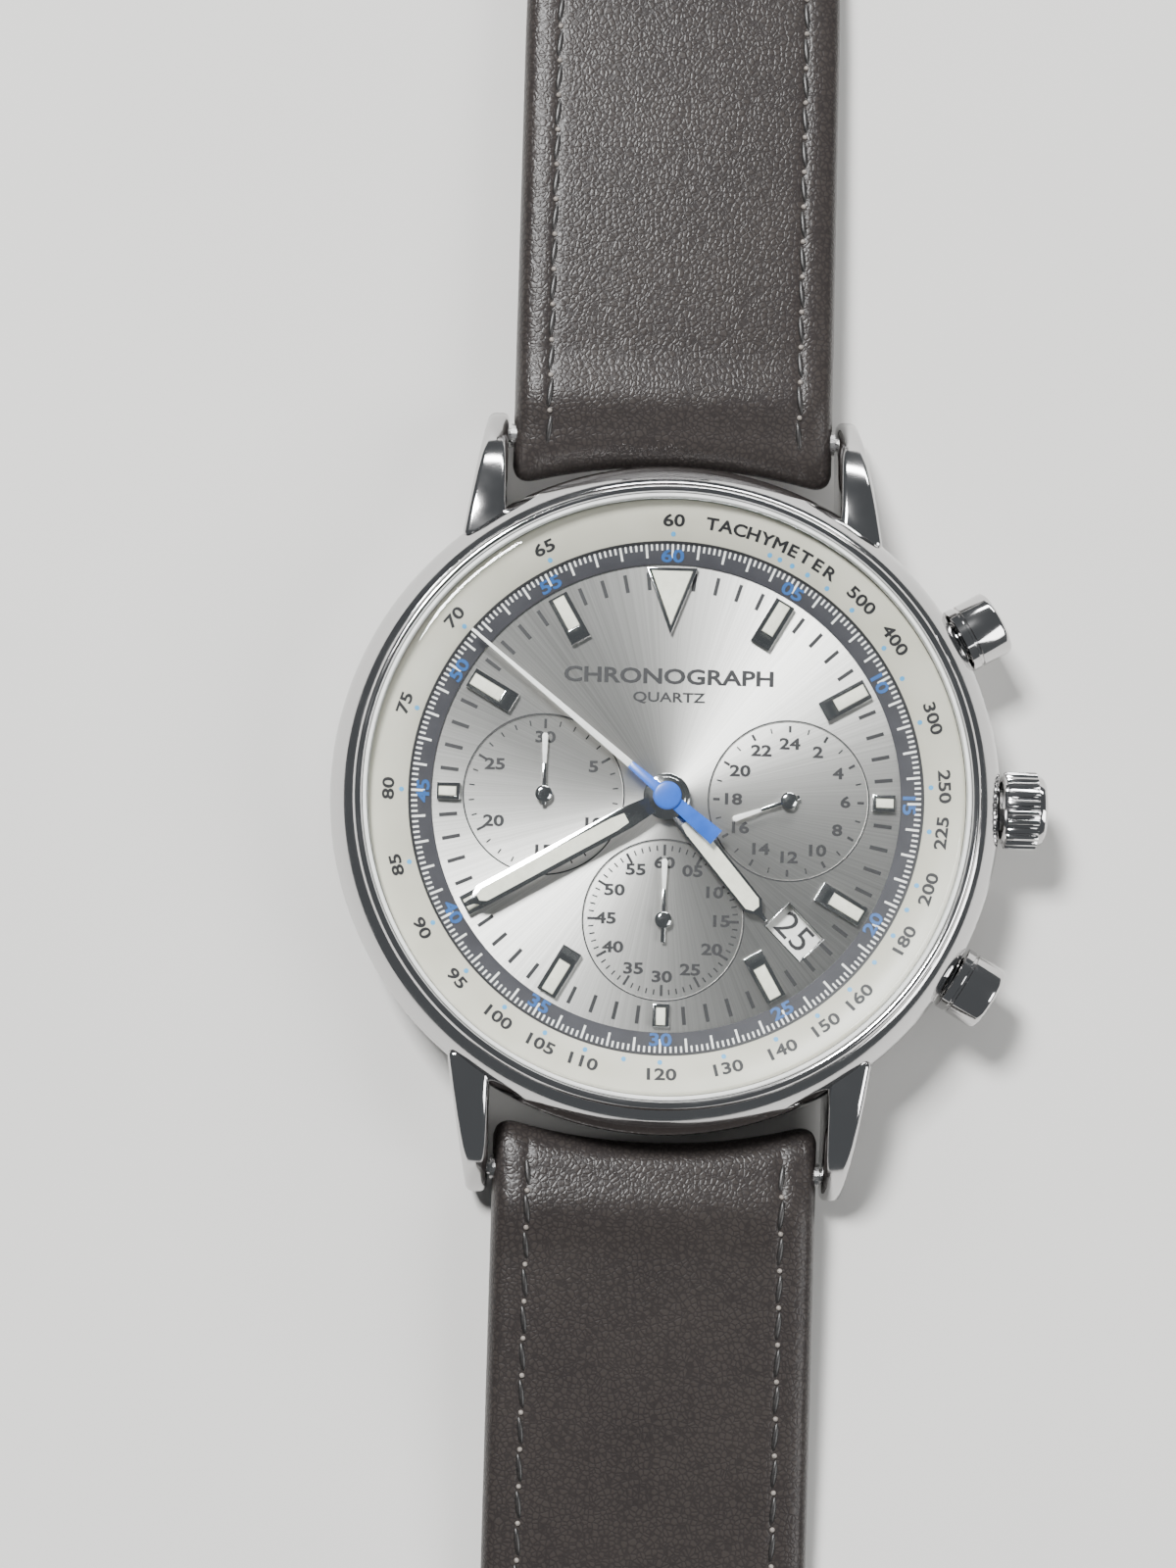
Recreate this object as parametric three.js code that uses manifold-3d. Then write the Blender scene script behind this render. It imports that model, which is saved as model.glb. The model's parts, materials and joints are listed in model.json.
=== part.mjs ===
// Chronograph wristwatch on a two-piece leather strap, lying open on its case back.
// Millimetres. +X points to the crown (3 o'clock), +Y to 12 o'clock, +Z out of the crystal.
// The origin is the centre of the case back's outer face.
import * as THREE from 'three';
import { mergeVertices } from 'three/addons/utils/BufferGeometryUtils.js';
import Module from 'manifold-3d';

const wasm = await Module();
wasm.setup();

// ---------- driving dimensions ----------
const CASE_R = 21.0;            // case band, 42 mm across without the crown
const RING_SIDES = 40;          // facets round every ring that shares the case's axis
const BORE_R = 17.0;            // movement space in the case
const FLANGE_SEAT_R = 18.65;    // wider space above the dial for the printed flange
const CASE_BOTTOM_Z = 1.6;
const FLANGE_SEAT_Z = 7.4;
const CASE_TOP_Z = 8.95;
const SIDE_AXIS_Z = 4.9;        // height of the crown and pusher axes

const DIAL_R = 16.6;
const DIAL_BOTTOM_Z = 7.0;
const DIAL_TOP_Z = 7.4;
const SUBDIAL_OFFSET = 7.65;    // sub-dial centres from the dial's centre
const SECONDS_RING_IN = 14.65;
const FLANGE_IN = 16.0;
const DATE_RADIUS = 11.6;       // centre of the date window
const DATE_ANGLE = 135;         // degrees clockwise from 12 o'clock
const DATE_LENGTH = 3.0;
const DATE_WIDTH = 2.0;

const CRYSTAL_R = 18.5;
const CRYSTAL_TOP_Z = 11.4;

const LUG_INNER_X = 10.5;       // half of the 21 mm between the lugs
const LUG_ROOT_X = 13.2;
const LUG_TIP_X = 11.8;
const LUG_ROOT_Y = 16.0;
const LUG_TIP_Y = 24.9;

const BAR_Y = 23.3;             // spring bar axes
const BAR_Z = 3.3;
const BAR_R = 0.75;
const BAR_HOLE_R = 0.9;         // hole through the strap's end

const STRAP_HALF_WIDTH = 10.2;
const STRAP_TAIL_HALF_WIDTH = 9.0;
const STRAP_TAPER_FROM = 28;
const STRAP_TAPER_TO = 50;
const STRAP_FALL_TO = 45;       // distance over which the strap comes down to its tail's height
const STRAP_END_HALF_THICKNESS = 1.7;
const STRAP_CREST_HALF_THICKNESS = 2.05;
const STRAP_TAIL_HALF_THICKNESS = 1.1;
const STRAP_CREST_AT = 2.6;
const BUCKLE_PIECE_LENGTH = 75;
const HOLE_PIECE_LENGTH = 117;
const BUCKLE_PIECE_TAIL_Z = 2.35;
const HOLE_PIECE_TAIL_Z = 1.2;

const BUCKLE_BAR_R = 0.7;
const BUCKLE_LENGTH = 9.6;      // from the bar to the middle of the front crossbar
const BUCKLE_TILT = 7.5;        // degrees by which the buckle leans down to the table
const BUCKLE_HALF_WIDTH = 11.0;
const BUCKLE_THICKNESS = 1.8;
const TONGUE_SLOT_HALF_WIDTH = 1.6;

const PUSHER_ANGLE = 30;        // degrees either side of the crown
const CROWN_R = 2.45;
const CROWN_FLUTES = 24;

// ---------- materials ----------
const finish = (color, roughness, metalness, extra = {}) =>
  new THREE.MeshStandardMaterial({ color, roughness, metalness, ...extra });

const polishedSteel = finish(0xb9babd, 0.12, 1.0);
const brushedSteel = finish(0xa9aaad, 0.35, 1.0);
const sapphire = finish(0xe8edf0, 0.03, 0.0, { transparent: true, opacity: 0.3 });
const nylon = finish(0xdedfdc, 0.45, 0.0);
const blackRubber = finish(0x1c1c1d, 0.7, 0.0);
const silverDial = finish(0xa8a5a2, 0.4, 0.7);
const creamPrint = finish(0xc9c7bd, 0.45, 0.0);
const greyPrint = finish(0x58565c, 0.5, 0.1);
const bluePaint = finish(0x3f74c8, 0.35, 0.1);
const whiteDisc = finish(0xe9e8e4, 0.55, 0.0);
const brassPlate = finish(0xb3a274, 0.35, 1.0);
const copperWire = finish(0xb46a3c, 0.4, 1.0);
const greenBoard = finish(0x2c5a3f, 0.6, 0.0);
const blackPlastic = finish(0x2a2a2c, 0.55, 0.0);
const greyLeather = finish(0x4a4645, 0.55, 0.0);

// ---------- solids ----------
const radians = THREE.MathUtils.degToRad;
const watch = new THREE.Group();
watch.name = 'chronograph_wristwatch';

function toSolid(geometry) {
  const bare = geometry.clone();
  bare.deleteAttribute('normal');
  bare.deleteAttribute('uv');
  const merged = mergeVertices(bare, 1e-4);
  const index = merged.index.array;
  const triangles = [];
  for (let i = 0; i < index.length; i += 3) {
    const [a, b, c] = index.slice(i, i + 3);
    if (a !== b && b !== c && c !== a) triangles.push(a, b, c);
  }
  return new wasm.Manifold(new wasm.Mesh({
    numProp: 3,
    vertProperties: new Float32Array(merged.attributes.position.array),
    triVerts: new Uint32Array(triangles),
  }));
}

function toGeometry(solid) {
  const mesh = solid.getMesh();
  const geometry = new THREE.BufferGeometry();
  geometry.setAttribute('position', new THREE.BufferAttribute(new Float32Array(mesh.vertProperties), 3));
  geometry.setIndex(new THREE.BufferAttribute(new Uint32Array(mesh.triVerts), 1));
  return geometry;
}

function cut(geometry, ...tools) {
  const solid = tools.reduce((left, tool) => left.subtract(toSolid(tool)), toSolid(geometry));
  return toGeometry(solid);
}

function join(first, ...others) {
  const solid = others.reduce((sum, other) => sum.add(toSolid(other)), toSolid(first));
  return toGeometry(solid);
}

function addPart(name, geometry, material, parent = watch) {
  const mesh = new THREE.Mesh(geometry, material);
  mesh.name = name;
  parent.add(mesh);
  return mesh;
}

// A solid of revolution about Z from [radius, z] pairs, going up its outer side.
function turned(profile, sides = RING_SIDES) {
  const points = profile.map(([r, z]) => new THREE.Vector2(r, z));
  return new THREE.LatheGeometry(points, sides).rotateX(Math.PI / 2);
}

// A ring about Z with a closed profile.
function ring(profile, sides = RING_SIDES) {
  return turned([...profile, profile[0]], sides);
}

function flatRing(inner, outer, bottom, top, sides = RING_SIDES) {
  return ring([[inner, bottom], [outer, bottom], [outer, top], [inner, top]], sides);
}

function disc(radius, bottom, top, sides = 24) {
  return turned([[0, bottom], [radius, bottom], [radius, top], [0, top]], sides);
}

// The same turned shapes, but along +X: profile pairs are [radius, x].
function turnedAlongX(profile, sides = 20) {
  return turned(profile, sides).rotateY(Math.PI / 2);
}

function radialHole(radius, from, to, angle, sides = 20) {
  const hole = turnedAlongX([[0, from], [radius, from], [radius, to], [0, to]], sides);
  return hole.rotateZ(radians(angle)).translate(0, 0, SIDE_AXIS_Z);
}

function plate(outline, bottom, top) {
  const geometry = new THREE.ExtrudeGeometry(outline, {
    depth: top - bottom,
    bevelEnabled: false,
    curveSegments: 6,
  });
  return geometry.translate(0, 0, bottom);
}

function outlineFrom(points) {
  return new THREE.Shape(points.map(([x, y]) => new THREE.Vector2(x, y)));
}

// A point on the dial at a radius and an angle in degrees clockwise from 12 o'clock.
function clockPoint(radius, angle) {
  return [radius * Math.sin(radians(angle)), radius * Math.cos(radians(angle))];
}

const subdialCentres = {
  counter: [-SUBDIAL_OFFSET, 0],
  dayNight: [SUBDIAL_OFFSET, 0],
  seconds: [0, -SUBDIAL_OFFSET],
};

// ---------- case ----------
function lug(signX, signY) {
  const side = new THREE.Shape();
  side.moveTo(LUG_ROOT_Y, 8.0);
  side.lineTo(LUG_ROOT_Y, 1.9);
  side.lineTo(20.5, 1.8);
  side.quadraticCurveTo(22.6, 1.0, 24.0, 1.1);
  side.quadraticCurveTo(LUG_TIP_Y, 1.3, LUG_TIP_Y, 2.4);
  side.quadraticCurveTo(24.4, 5.0, 21.6, 6.6);
  side.quadraticCurveTo(19.6, 7.7, LUG_ROOT_Y, 8.0);
  const geometry = new THREE.ExtrudeGeometry(side, { depth: 1, bevelEnabled: false, curveSegments: 4 });
  const position = geometry.attributes.position;
  for (let i = 0; i < position.count; i += 1) {
    const [along, up, across] = [position.getX(i), position.getY(i), position.getZ(i)];
    const toTip = (along - LUG_ROOT_Y) / (LUG_TIP_Y - LUG_ROOT_Y);
    const outerX = THREE.MathUtils.lerp(LUG_ROOT_X, LUG_TIP_X, toTip);
    position.setXYZ(i, THREE.MathUtils.lerp(LUG_INNER_X, outerX, across), along, up);
  }
  return turnToQuarter(geometry, signX, signY);
}

// Moves a piece of the +X +Y quarter to another quarter. A single mirror would turn it inside out,
// so its triangles are then wound the other way.
function turnToQuarter(geometry, signX, signY) {
  geometry.scale(signX, signY, 1);
  if (signX * signY < 0) return flipWinding(geometry);
  return geometry;
}

function flipWinding(geometry) {
  const flat = geometry.index ? geometry.toNonIndexed() : geometry;
  const position = flat.attributes.position;
  const corner = new THREE.Vector3();
  for (let i = 0; i < position.count; i += 3) {
    corner.fromBufferAttribute(position, i);
    position.setXYZ(i, position.getX(i + 1), position.getY(i + 1), position.getZ(i + 1));
    position.setXYZ(i + 1, corner.x, corner.y, corner.z);
  }
  return flat;
}

function caseMiddle() {
  const band = ring([
    [BORE_R, CASE_BOTTOM_Z],
    [19.9, CASE_BOTTOM_Z],
    [20.7, 2.1],
    [CASE_R, 3.0],
    [CASE_R, 6.8],
    [20.7, 7.4],
    [19.6, CASE_TOP_Z],
    [FLANGE_SEAT_R, CASE_TOP_Z],
    [FLANGE_SEAT_R, FLANGE_SEAT_Z],
    [BORE_R, FLANGE_SEAT_Z],
  ]);
  const lugs = [[1, 1], [-1, 1], [-1, -1], [1, -1]].map(([x, y]) => lug(x, y));
  const movementSpace = disc(BORE_R, CASE_BOTTOM_Z - 1, FLANGE_SEAT_Z + 0.01, RING_SIDES);
  const flangeSpace = disc(FLANGE_SEAT_R, FLANGE_SEAT_Z, CASE_TOP_Z + 1, RING_SIDES);
  const barHoles = [BAR_Y, -BAR_Y].map((y) =>
    turnedAlongX([[0, -11.4], [0.6, -11.4], [0.6, 11.4], [0, 11.4]], 12).translate(0, y, BAR_Z));
  const sideHoles = [PUSHER_ANGLE, -PUSHER_ANGLE].flatMap((angle) => [
    radialHole(2.3, 19.9, 23, angle),
    radialHole(1.05, 16, 20.5, angle),
  ]);
  const crownHole = radialHole(1.4, 16, 23, 0);
  return cut(join(band, ...lugs), movementSpace, flangeSpace, ...barHoles, ...sideHoles, crownHole);
}

addPart('case_middle', caseMiddle(), polishedSteel);

addPart('bezel', ring([
  [18.88, 9.0], [19.45, 9.0], [19.45, 9.5], [19.3, 9.95], [19.0, 10.0], [18.88, 9.9],
]), polishedSteel);

addPart('crystal_gasket', flatRing(18.58, 18.8, 9.02, 9.85), nylon);

addPart('crystal', turned([
  [0, 9.95], [6, 9.87], [12, 9.6], [17.5, 9.1],
  [CRYSTAL_R, 9.05], [CRYSTAL_R, 9.95], [18.3, 10.15],
  [15.5, 10.6], [12, 10.95], [8, 11.2], [4, 11.35], [0, CRYSTAL_TOP_Z],
]), sapphire);

addPart('tachymeter_ring', ring([
  [FLANGE_IN, 7.45], [18.55, 7.45], [18.55, 8.9], [18.3, 8.95], [FLANGE_IN, 7.9],
]), creamPrint);

addPart('seconds_ring', ring([
  [SECONDS_RING_IN, 7.45], [15.92, 7.45], [15.92, 7.8], [SECONDS_RING_IN, 7.58],
]), greyPrint);

addPart('case_back', turned([
  [0, 0], [16.2, 0], [17.6, 0.35], [18.5, 1.05], [18.5, 1.5],
  [16.4, 1.5], [16.4, 2.4], [15.7, 2.4], [15.7, 1.2], [0, 1.2],
]), brushedSteel);

addPart('case_back_gasket', flatRing(16.5, 16.9, 1.65, 2.25), blackRubber);

// ---------- dial ----------
function dateWindow(bottom, top) {
  const box = new THREE.BoxGeometry(DATE_WIDTH, DATE_LENGTH, top - bottom);
  const [x, y] = clockPoint(DATE_RADIUS, DATE_ANGLE);
  return box.rotateZ(-radians(DATE_ANGLE)).translate(x, y, (top + bottom) / 2);
}

function arborHoles(radius, bottom, top) {
  return Object.values(subdialCentres).map(([x, y]) =>
    disc(radius, bottom - 1, top + 1, 16).translate(x, y, 0));
}

addPart('dial', cut(
  disc(DIAL_R, DIAL_BOTTOM_Z, DIAL_TOP_Z, RING_SIDES),
  disc(1.2, 6, 8, 24),
  ...arborHoles(0.45, DIAL_BOTTOM_Z, DIAL_TOP_Z),
  dateWindow(6, 8),
), silverDial);

const MARKER_BOTTOM_Z = 7.43;
const MARKER_TOP_Z = 7.85;
const LONG_MARKER = { inner: 11.15, outer: 14.3, width: 1.32 };
const SHORT_MARKER = { inner: 12.85, outer: 14.3, width: 1.05 };
const TRIANGLE_MARKER = { inner: 10.2, outer: 14.4, width: 3.2 };
const BEVEL = 0.1;

function bevelledPlate(points) {
  const geometry = new THREE.ExtrudeGeometry(outlineFrom(points), {
    depth: MARKER_TOP_Z - MARKER_BOTTOM_Z - BEVEL,
    bevelEnabled: true,
    bevelThickness: BEVEL,
    bevelSize: BEVEL,
    bevelOffset: -BEVEL,
    bevelSegments: 1,
  });
  return cut(
    geometry.translate(0, 0, MARKER_BOTTOM_Z),
    new THREE.BoxGeometry(40, 40, 2).translate(0, 0, MARKER_BOTTOM_Z - 1),
  );
}

function batonMarker({ inner, outer, width }) {
  const half = width / 2;
  return bevelledPlate([[-half, inner], [half, inner], [half, outer], [-half, outer]]);
}

for (let hour = 1; hour <= 12; hour += 1) {
  const isShort = hour % 3 === 0;
  const triangle = [
    [0, TRIANGLE_MARKER.inner],
    [TRIANGLE_MARKER.width / 2, TRIANGLE_MARKER.outer],
    [-TRIANGLE_MARKER.width / 2, TRIANGLE_MARKER.outer],
  ];
  const shape = hour === 12 ? bevelledPlate(triangle) : batonMarker(isShort ? SHORT_MARKER : LONG_MARKER);
  const marker = addPart(`hour_marker_${hour}`, shape, polishedSteel);
  marker.rotation.z = -radians(hour * 30);
}

// ---------- hands ----------
// Each hand is drawn pointing to 12 o'clock and turned clockwise to its rest angle.
function placeHand(name, geometry, material, angle, [x, y] = [0, 0]) {
  const hand = addPart(name, geometry, material);
  hand.position.set(x, y, 0);
  hand.rotation.z = -radians(angle);
  return hand;
}

function batonOutline(length, width, rootWidth) {
  const half = width / 2;
  return outlineFrom([
    [-rootWidth / 2, 0], [rootWidth / 2, 0], [half, length * 0.25],
    [half, length - 1.3], [0, length], [-half, length - 1.3], [-half, length * 0.25],
  ]);
}

const HOUR_ANGLE = 140;
const MINUTE_ANGLE = 240;
const SWEEP_ANGLE = 309;
const COUNTER_ANGLE = 0;
const SMALL_SECONDS_ANGLE = 0;
const DAY_NIGHT_ANGLE = 250;

const hourHand = cut(
  join(plate(batonOutline(9.9, 1.35, 0.9), 8.1, 8.3), disc(1.45, 8.1, 8.3), disc(1.05, 5.9, 8.2)),
  disc(0.8, 5, 9),
);
placeHand('hour_hand', hourHand, polishedSteel, HOUR_ANGLE);

const minuteHand = cut(
  join(plate(batonOutline(14.3, 1.4, 0.9), 8.5, 8.68), disc(1.2, 8.5, 8.68), disc(0.7, 5.2, 8.6)),
  disc(0.45, 5, 9),
);
placeHand('minute_hand', minuteHand, polishedSteel, MINUTE_ANGLE);

const sweepOutline = outlineFrom([
  [-0.55, -4.0], [0.55, -4.0], [0.35, 0], [0.3, 3.0], [0.1, 15.95], [-0.1, 15.95], [-0.3, 3.0], [-0.35, 0],
]);
const sweepHand = join(plate(sweepOutline, 8.9, 9.05), disc(0.85, 8.9, 9.3), disc(0.35, 4.6, 9.0, 16));
placeHand('chronograph_seconds_hand', sweepHand, bluePaint, SWEEP_ANGLE);

function smallHand(length, tail, width) {
  const outline = outlineFrom([
    [-width / 2, -tail], [width / 2, -tail], [width * 0.6, length * 0.35],
    [0.12, length], [-0.12, length], [-width * 0.6, length * 0.35],
  ]);
  return join(plate(outline, 7.66, 7.8), disc(0.5, 7.66, 7.95, 16), disc(0.3, 4.9, 7.7, 16));
}

placeHand('minute_counter_hand', smallHand(3.8, 0.7, 0.45), polishedSteel, COUNTER_ANGLE, subdialCentres.counter);
placeHand('small_seconds_hand', smallHand(3.8, 1.4, 0.45), polishedSteel, SMALL_SECONDS_ANGLE,
  subdialCentres.seconds);
placeHand('day_night_hand', smallHand(3.7, 0.7, 0.45), polishedSteel, DAY_NIGHT_ANGLE, subdialCentres.dayNight);

// ---------- movement ----------
const PLATE_R = 15.2;

addPart('date_disc', flatRing(9.85, 13.6, 6.3, 6.6), whiteDisc);
addPart('date_ring_cover', cut(
  disc(9.6, 6.3, 6.75, RING_SIDES), disc(1.2, 6, 7), ...arborHoles(0.45, 6, 7),
), brushedSteel);
addPart('dial_seat_ring', flatRing(13.8, 15.2, 5.85, 6.9), blackPlastic);

addPart('main_plate', cut(
  disc(PLATE_R, 4.0, 5.7, RING_SIDES),
  disc(0.8, 3, 7),
  ...arborHoles(0.45, 4, 6),
  radialHole(0.55, 8.4, 16, 0, 12),
), brassPlate);

addPart('movement_holder', cut(
  flatRing(15.35, 16.85, 2.6, 6.9),
  radialHole(0.75, 14, 18, 0),
  radialHole(1.3, 14, 18, PUSHER_ANGLE),
  radialHole(1.3, 14, 18, -PUSHER_ANGLE),
), blackPlastic);

function toothedWheel(teeth, rootRadius, tipRadius, bore, bottom, top) {
  const points = [];
  const toothPitch = (2 * Math.PI) / teeth;
  for (let tooth = 0; tooth < teeth; tooth += 1) {
    const profile = [[0, rootRadius], [0.45, rootRadius], [0.6, tipRadius], [0.85, tipRadius]];
    for (const [share, radius] of profile) {
      const angle = (tooth + share) * toothPitch;
      points.push([radius * Math.cos(angle), radius * Math.sin(angle)]);
    }
  }
  return cut(plate(outlineFrom(points), bottom, top), disc(bore, bottom - 1, top + 1, 24));
}

addPart('hour_wheel', toothedWheel(24, 2.9, 3.3, 1.1, 5.92, 6.12), brassPlate);

const BATTERY_CENTRE = [-6.5, 7.0];
const BATTERY_R = 4.75;
const COIL_CENTRE = [-2.5, -9.2];
const BRIDGE_CENTRE = [4.6, 1.2];

addPart('circuit_board', cut(
  disc(14.6, 3.35, 3.75, RING_SIDES),
  disc(BATTERY_R + 0.4, 3, 4, 32).translate(...BATTERY_CENTRE, 0),
), greenBoard);

addPart('battery', turned([
  [0, 1.65], [4.0, 1.65], [4.0, 1.85], [BATTERY_R, 1.95], [BATTERY_R, 3.8], [0, 3.8],
], 32).translate(...BATTERY_CENTRE, 0), polishedSteel);

addPart('train_bridge', plate(outlineFrom([
  [-4.0, -5.5], [7.5, -5.5], [9.0, -3.0], [8.0, 6.5], [4.0, 9.0], [-0.5, 6.0], [-3.0, 1.5],
]), 2.2, 3.2).translate(BRIDGE_CENTRE[0] - 3, BRIDGE_CENTRE[1] - 2, 0), brushedSteel);

function motorCoil() {
  const winding = turnedAlongX([[0, -4.0], [0.8, -4.0], [0.8, 4.0], [0, 4.0]], 16);
  const cheeks = [-4.4, 3.8].map((x) => turnedAlongX([[0, x], [1.0, x], [1.0, x + 0.6], [0, x + 0.6]], 16));
  return join(winding, ...cheeks).translate(...COIL_CENTRE, 2.25);
}

addPart('motor_coil', motorCoil(), copperWire);

// ---------- crown ----------
const crownAxis = new THREE.Group();
crownAxis.position.z = SIDE_AXIS_Z;
watch.add(crownAxis);

function crownShape() {
  const flutes = [];
  for (let i = 0; i < CROWN_FLUTES * 2; i += 1) {
    const radius = i % 2 === 0 ? CROWN_R : CROWN_R - 0.2;
    const angle = (i * Math.PI) / CROWN_FLUTES;
    flutes.push([radius * Math.cos(angle), radius * Math.sin(angle)]);
  }
  const gripAlongX = plate(outlineFrom(flutes), 21.4, 23.5).rotateY(Math.PI / 2);
  const cap = turnedAlongX([[0, 21.2], [2.2, 21.2], [2.2, 23.75], [1.85, 24.0], [0, 24.1]], 24);
  const cavity = turnedAlongX([[0, 21.0], [1.85, 21.0], [1.85, 23.2], [0.5, 23.2], [0.5, 23.65], [0, 23.65]], 20);
  return cut(join(gripAlongX, cap), cavity);
}

addPart('crown', crownShape(), polishedSteel, crownAxis);
addPart('winding_stem', turnedAlongX([
  [0, 8.7], [0.4, 8.7], [0.4, 23.55], [0, 23.55],
], 12), brushedSteel, crownAxis);
addPart('crown_tube', turnedAlongX([
  [0.55, 17.1], [1.3, 17.1], [1.3, 22.9], [0.55, 22.9], [0.55, 17.1],
]), brushedSteel, crownAxis);
addPart('crown_gasket', turnedAlongX([
  [1.38, 21.35], [1.78, 21.35], [1.78, 21.75], [1.38, 21.75], [1.38, 21.35],
]), blackRubber, crownAxis);

// ---------- pushers ----------
function springWire() {
  const TURNS = 4;
  const COIL_R = 1.2;
  const [from, to] = [20.1, 22.7];
  const points = [];
  for (let i = 0; i <= TURNS * 10; i += 1) {
    const angle = (i / 10) * 2 * Math.PI;
    const along = THREE.MathUtils.lerp(from, to, i / (TURNS * 10));
    points.push(new THREE.Vector3(along, COIL_R * Math.cos(angle), COIL_R * Math.sin(angle)));
  }
  const section = outlineFrom([[-0.1, -0.1], [0.1, -0.1], [0.1, 0.1], [-0.1, 0.1]]);
  return new THREE.ExtrudeGeometry(section, {
    steps: TURNS * 10,
    extrudePath: new THREE.CatmullRomCurve3(points),
    bevelEnabled: false,
  });
}

function clipShape() {
  const outline = new THREE.Shape();
  outline.absarc(0, 0, 1.0, radians(50), radians(310), false);
  outline.absarc(0, 0, 0.5, radians(310), radians(50), true);
  const clip = new THREE.ExtrudeGeometry(outline, { depth: 0.25, bevelEnabled: false, curveSegments: 12 });
  return clip.rotateY(Math.PI / 2).translate(16.65, 0, 0);
}

function addPusher(prefix, angle) {
  const axis = new THREE.Group();
  axis.position.z = SIDE_AXIS_Z;
  axis.rotation.z = radians(angle);
  watch.add(axis);
  addPart(`${prefix}_pusher`, turnedAlongX([
    [0, 16.3], [0.6, 16.3], [0.6, 16.6], [0.42, 16.6], [0.42, 16.95], [0.6, 16.95], [0.6, 22.9],
    [1.45, 22.9], [1.45, 21.2], [2.1, 21.2], [2.1, 23.75], [1.9, 24.0], [0, 24.05],
  ], 24), polishedSteel, axis);
  addPart(`${prefix}_pusher_tube`, turnedAlongX([
    [0.7, 17.1], [0.95, 17.1], [0.95, 21.6], [0.7, 21.6], [0.7, 17.1],
  ]), brushedSteel, axis);
  addPart(`${prefix}_pusher_spring`, springWire(), brushedSteel, axis);
  addPart(`${prefix}_pusher_clip`, clipShape(), brushedSteel, axis);
}

addPusher('upper', PUSHER_ANGLE);
addPusher('lower', -PUSHER_ANGLE);

// ---------- strap ----------
const { lerp, smoothstep } = THREE.MathUtils;

function strapHalfWidth(s) {
  return lerp(STRAP_HALF_WIDTH, STRAP_TAIL_HALF_WIDTH, smoothstep(s, STRAP_TAPER_FROM, STRAP_TAPER_TO));
}

// Half the thickness at a distance s from the spring bar.
function strapHalfThickness(s) {
  if (s < STRAP_CREST_AT) {
    return lerp(STRAP_END_HALF_THICKNESS, STRAP_CREST_HALF_THICKNESS, smoothstep(s, 0, STRAP_CREST_AT));
  }
  return lerp(STRAP_CREST_HALF_THICKNESS, STRAP_TAIL_HALF_THICKNESS, smoothstep(s, STRAP_CREST_AT, STRAP_FALL_TO));
}

// How far the strap's end reaches back from the bar to follow the round case, at a place across it.
function strapReach(x) {
  return BAR_Y - Math.sqrt(CASE_R * CASE_R - x * x) - 0.45;
}

// A flat-sided band swept from the case end (s < 0) past the bar (s = 0) to its far end.
function strapSolid(length, tailZ, tipStyle) {
  const acrossSteps = 6;
  const alongSteps = 22;
  const geometry = new THREE.BoxGeometry(2, 1, 2, acrossSteps, alongSteps, 1);
  const position = geometry.attributes.position;
  const noseSteps = 5;
  for (let i = 0; i < position.count; i += 1) {
    const [u, v, t] = [position.getX(i), position.getY(i) + 0.5, position.getZ(i)];
    const step = Math.round(v * alongSteps);
    const inNose = step < noseSteps;
    const noseTurn = (Math.PI / 2) * (1 - step / noseSteps);
    const beyond = (step - noseSteps) / (alongSteps - noseSteps);
    let s = beyond ** 1.5 * length;
    let half = strapHalfThickness(s);
    let x = u * strapHalfWidth(s);
    if (inNose) {
      x = u * STRAP_HALF_WIDTH;
      s = -strapReach(x) * Math.sin(noseTurn);
      half = STRAP_END_HALF_THICKNESS * Math.max(Math.cos(noseTurn), 0.18);
    } else {
      const shaped = tipStyle(s, x, half, length);
      s = shaped.s;
      half = shaped.half;
    }
    const middle = lerp(BAR_Z, tailZ, smoothstep(s, 0, STRAP_FALL_TO));
    position.setXYZ(i, x, BAR_Y + s, middle + t * half);
  }
  return geometry;
}

// The buckle end swells into a loop round the buckle's bar.
function buckleLoop(s, x, half, length) {
  const LOOP_HALF = 1.65;
  const fromBar = length - s;
  const swell = 1 - smoothstep(fromBar, 1.2, 5);
  return { s: s + swell * LOOP_HALF, half: lerp(half, LOOP_HALF - 0.25 * (fromBar < 0.5), swell) };
}

// The free end is rounded in plan to a blunt point.
function bluntTip(s, x, half, length) {
  const share = Math.abs(x) / STRAP_TAIL_HALF_WIDTH;
  const pullBack = 9 * share * share * smoothstep(s, length - 20, length);
  return { s: s - pullBack, half };
}

function barHole(radius, y, z) {
  const hole = turnedAlongX([[0, -12], [radius, -12], [radius, 12], [0, 12]], 16);
  return hole.translate(0, y, z);
}

const BUCKLE_BAR_Y = BAR_Y + BUCKLE_PIECE_LENGTH;

function bucklePiece() {
  const band = strapSolid(BUCKLE_PIECE_LENGTH, BUCKLE_PIECE_TAIL_Z, buckleLoop);
  const slot = new THREE.BoxGeometry(2 * TONGUE_SLOT_HALF_WIDTH, 8, 8)
    .translate(0, BUCKLE_BAR_Y + 4 - 2.4, BUCKLE_PIECE_TAIL_Z);
  return cut(
    band,
    barHole(BAR_HOLE_R, BAR_Y, BAR_Z),
    barHole(BUCKLE_BAR_R + 0.12, BUCKLE_BAR_Y, BUCKLE_PIECE_TAIL_Z),
    slot,
  );
}

function holePiece() {
  const band = strapSolid(HOLE_PIECE_LENGTH, HOLE_PIECE_TAIL_Z, bluntTip);
  const punched = [];
  for (let i = 0; i < 7; i += 1) {
    const y = BAR_Y + HOLE_PIECE_LENGTH - 24 - i * 6.5;
    punched.push(disc(0.95, -2, 6, 10).translate(0, y, 0));
  }
  return cut(band, barHole(BAR_HOLE_R, BAR_Y, BAR_Z), ...punched);
}

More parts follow.
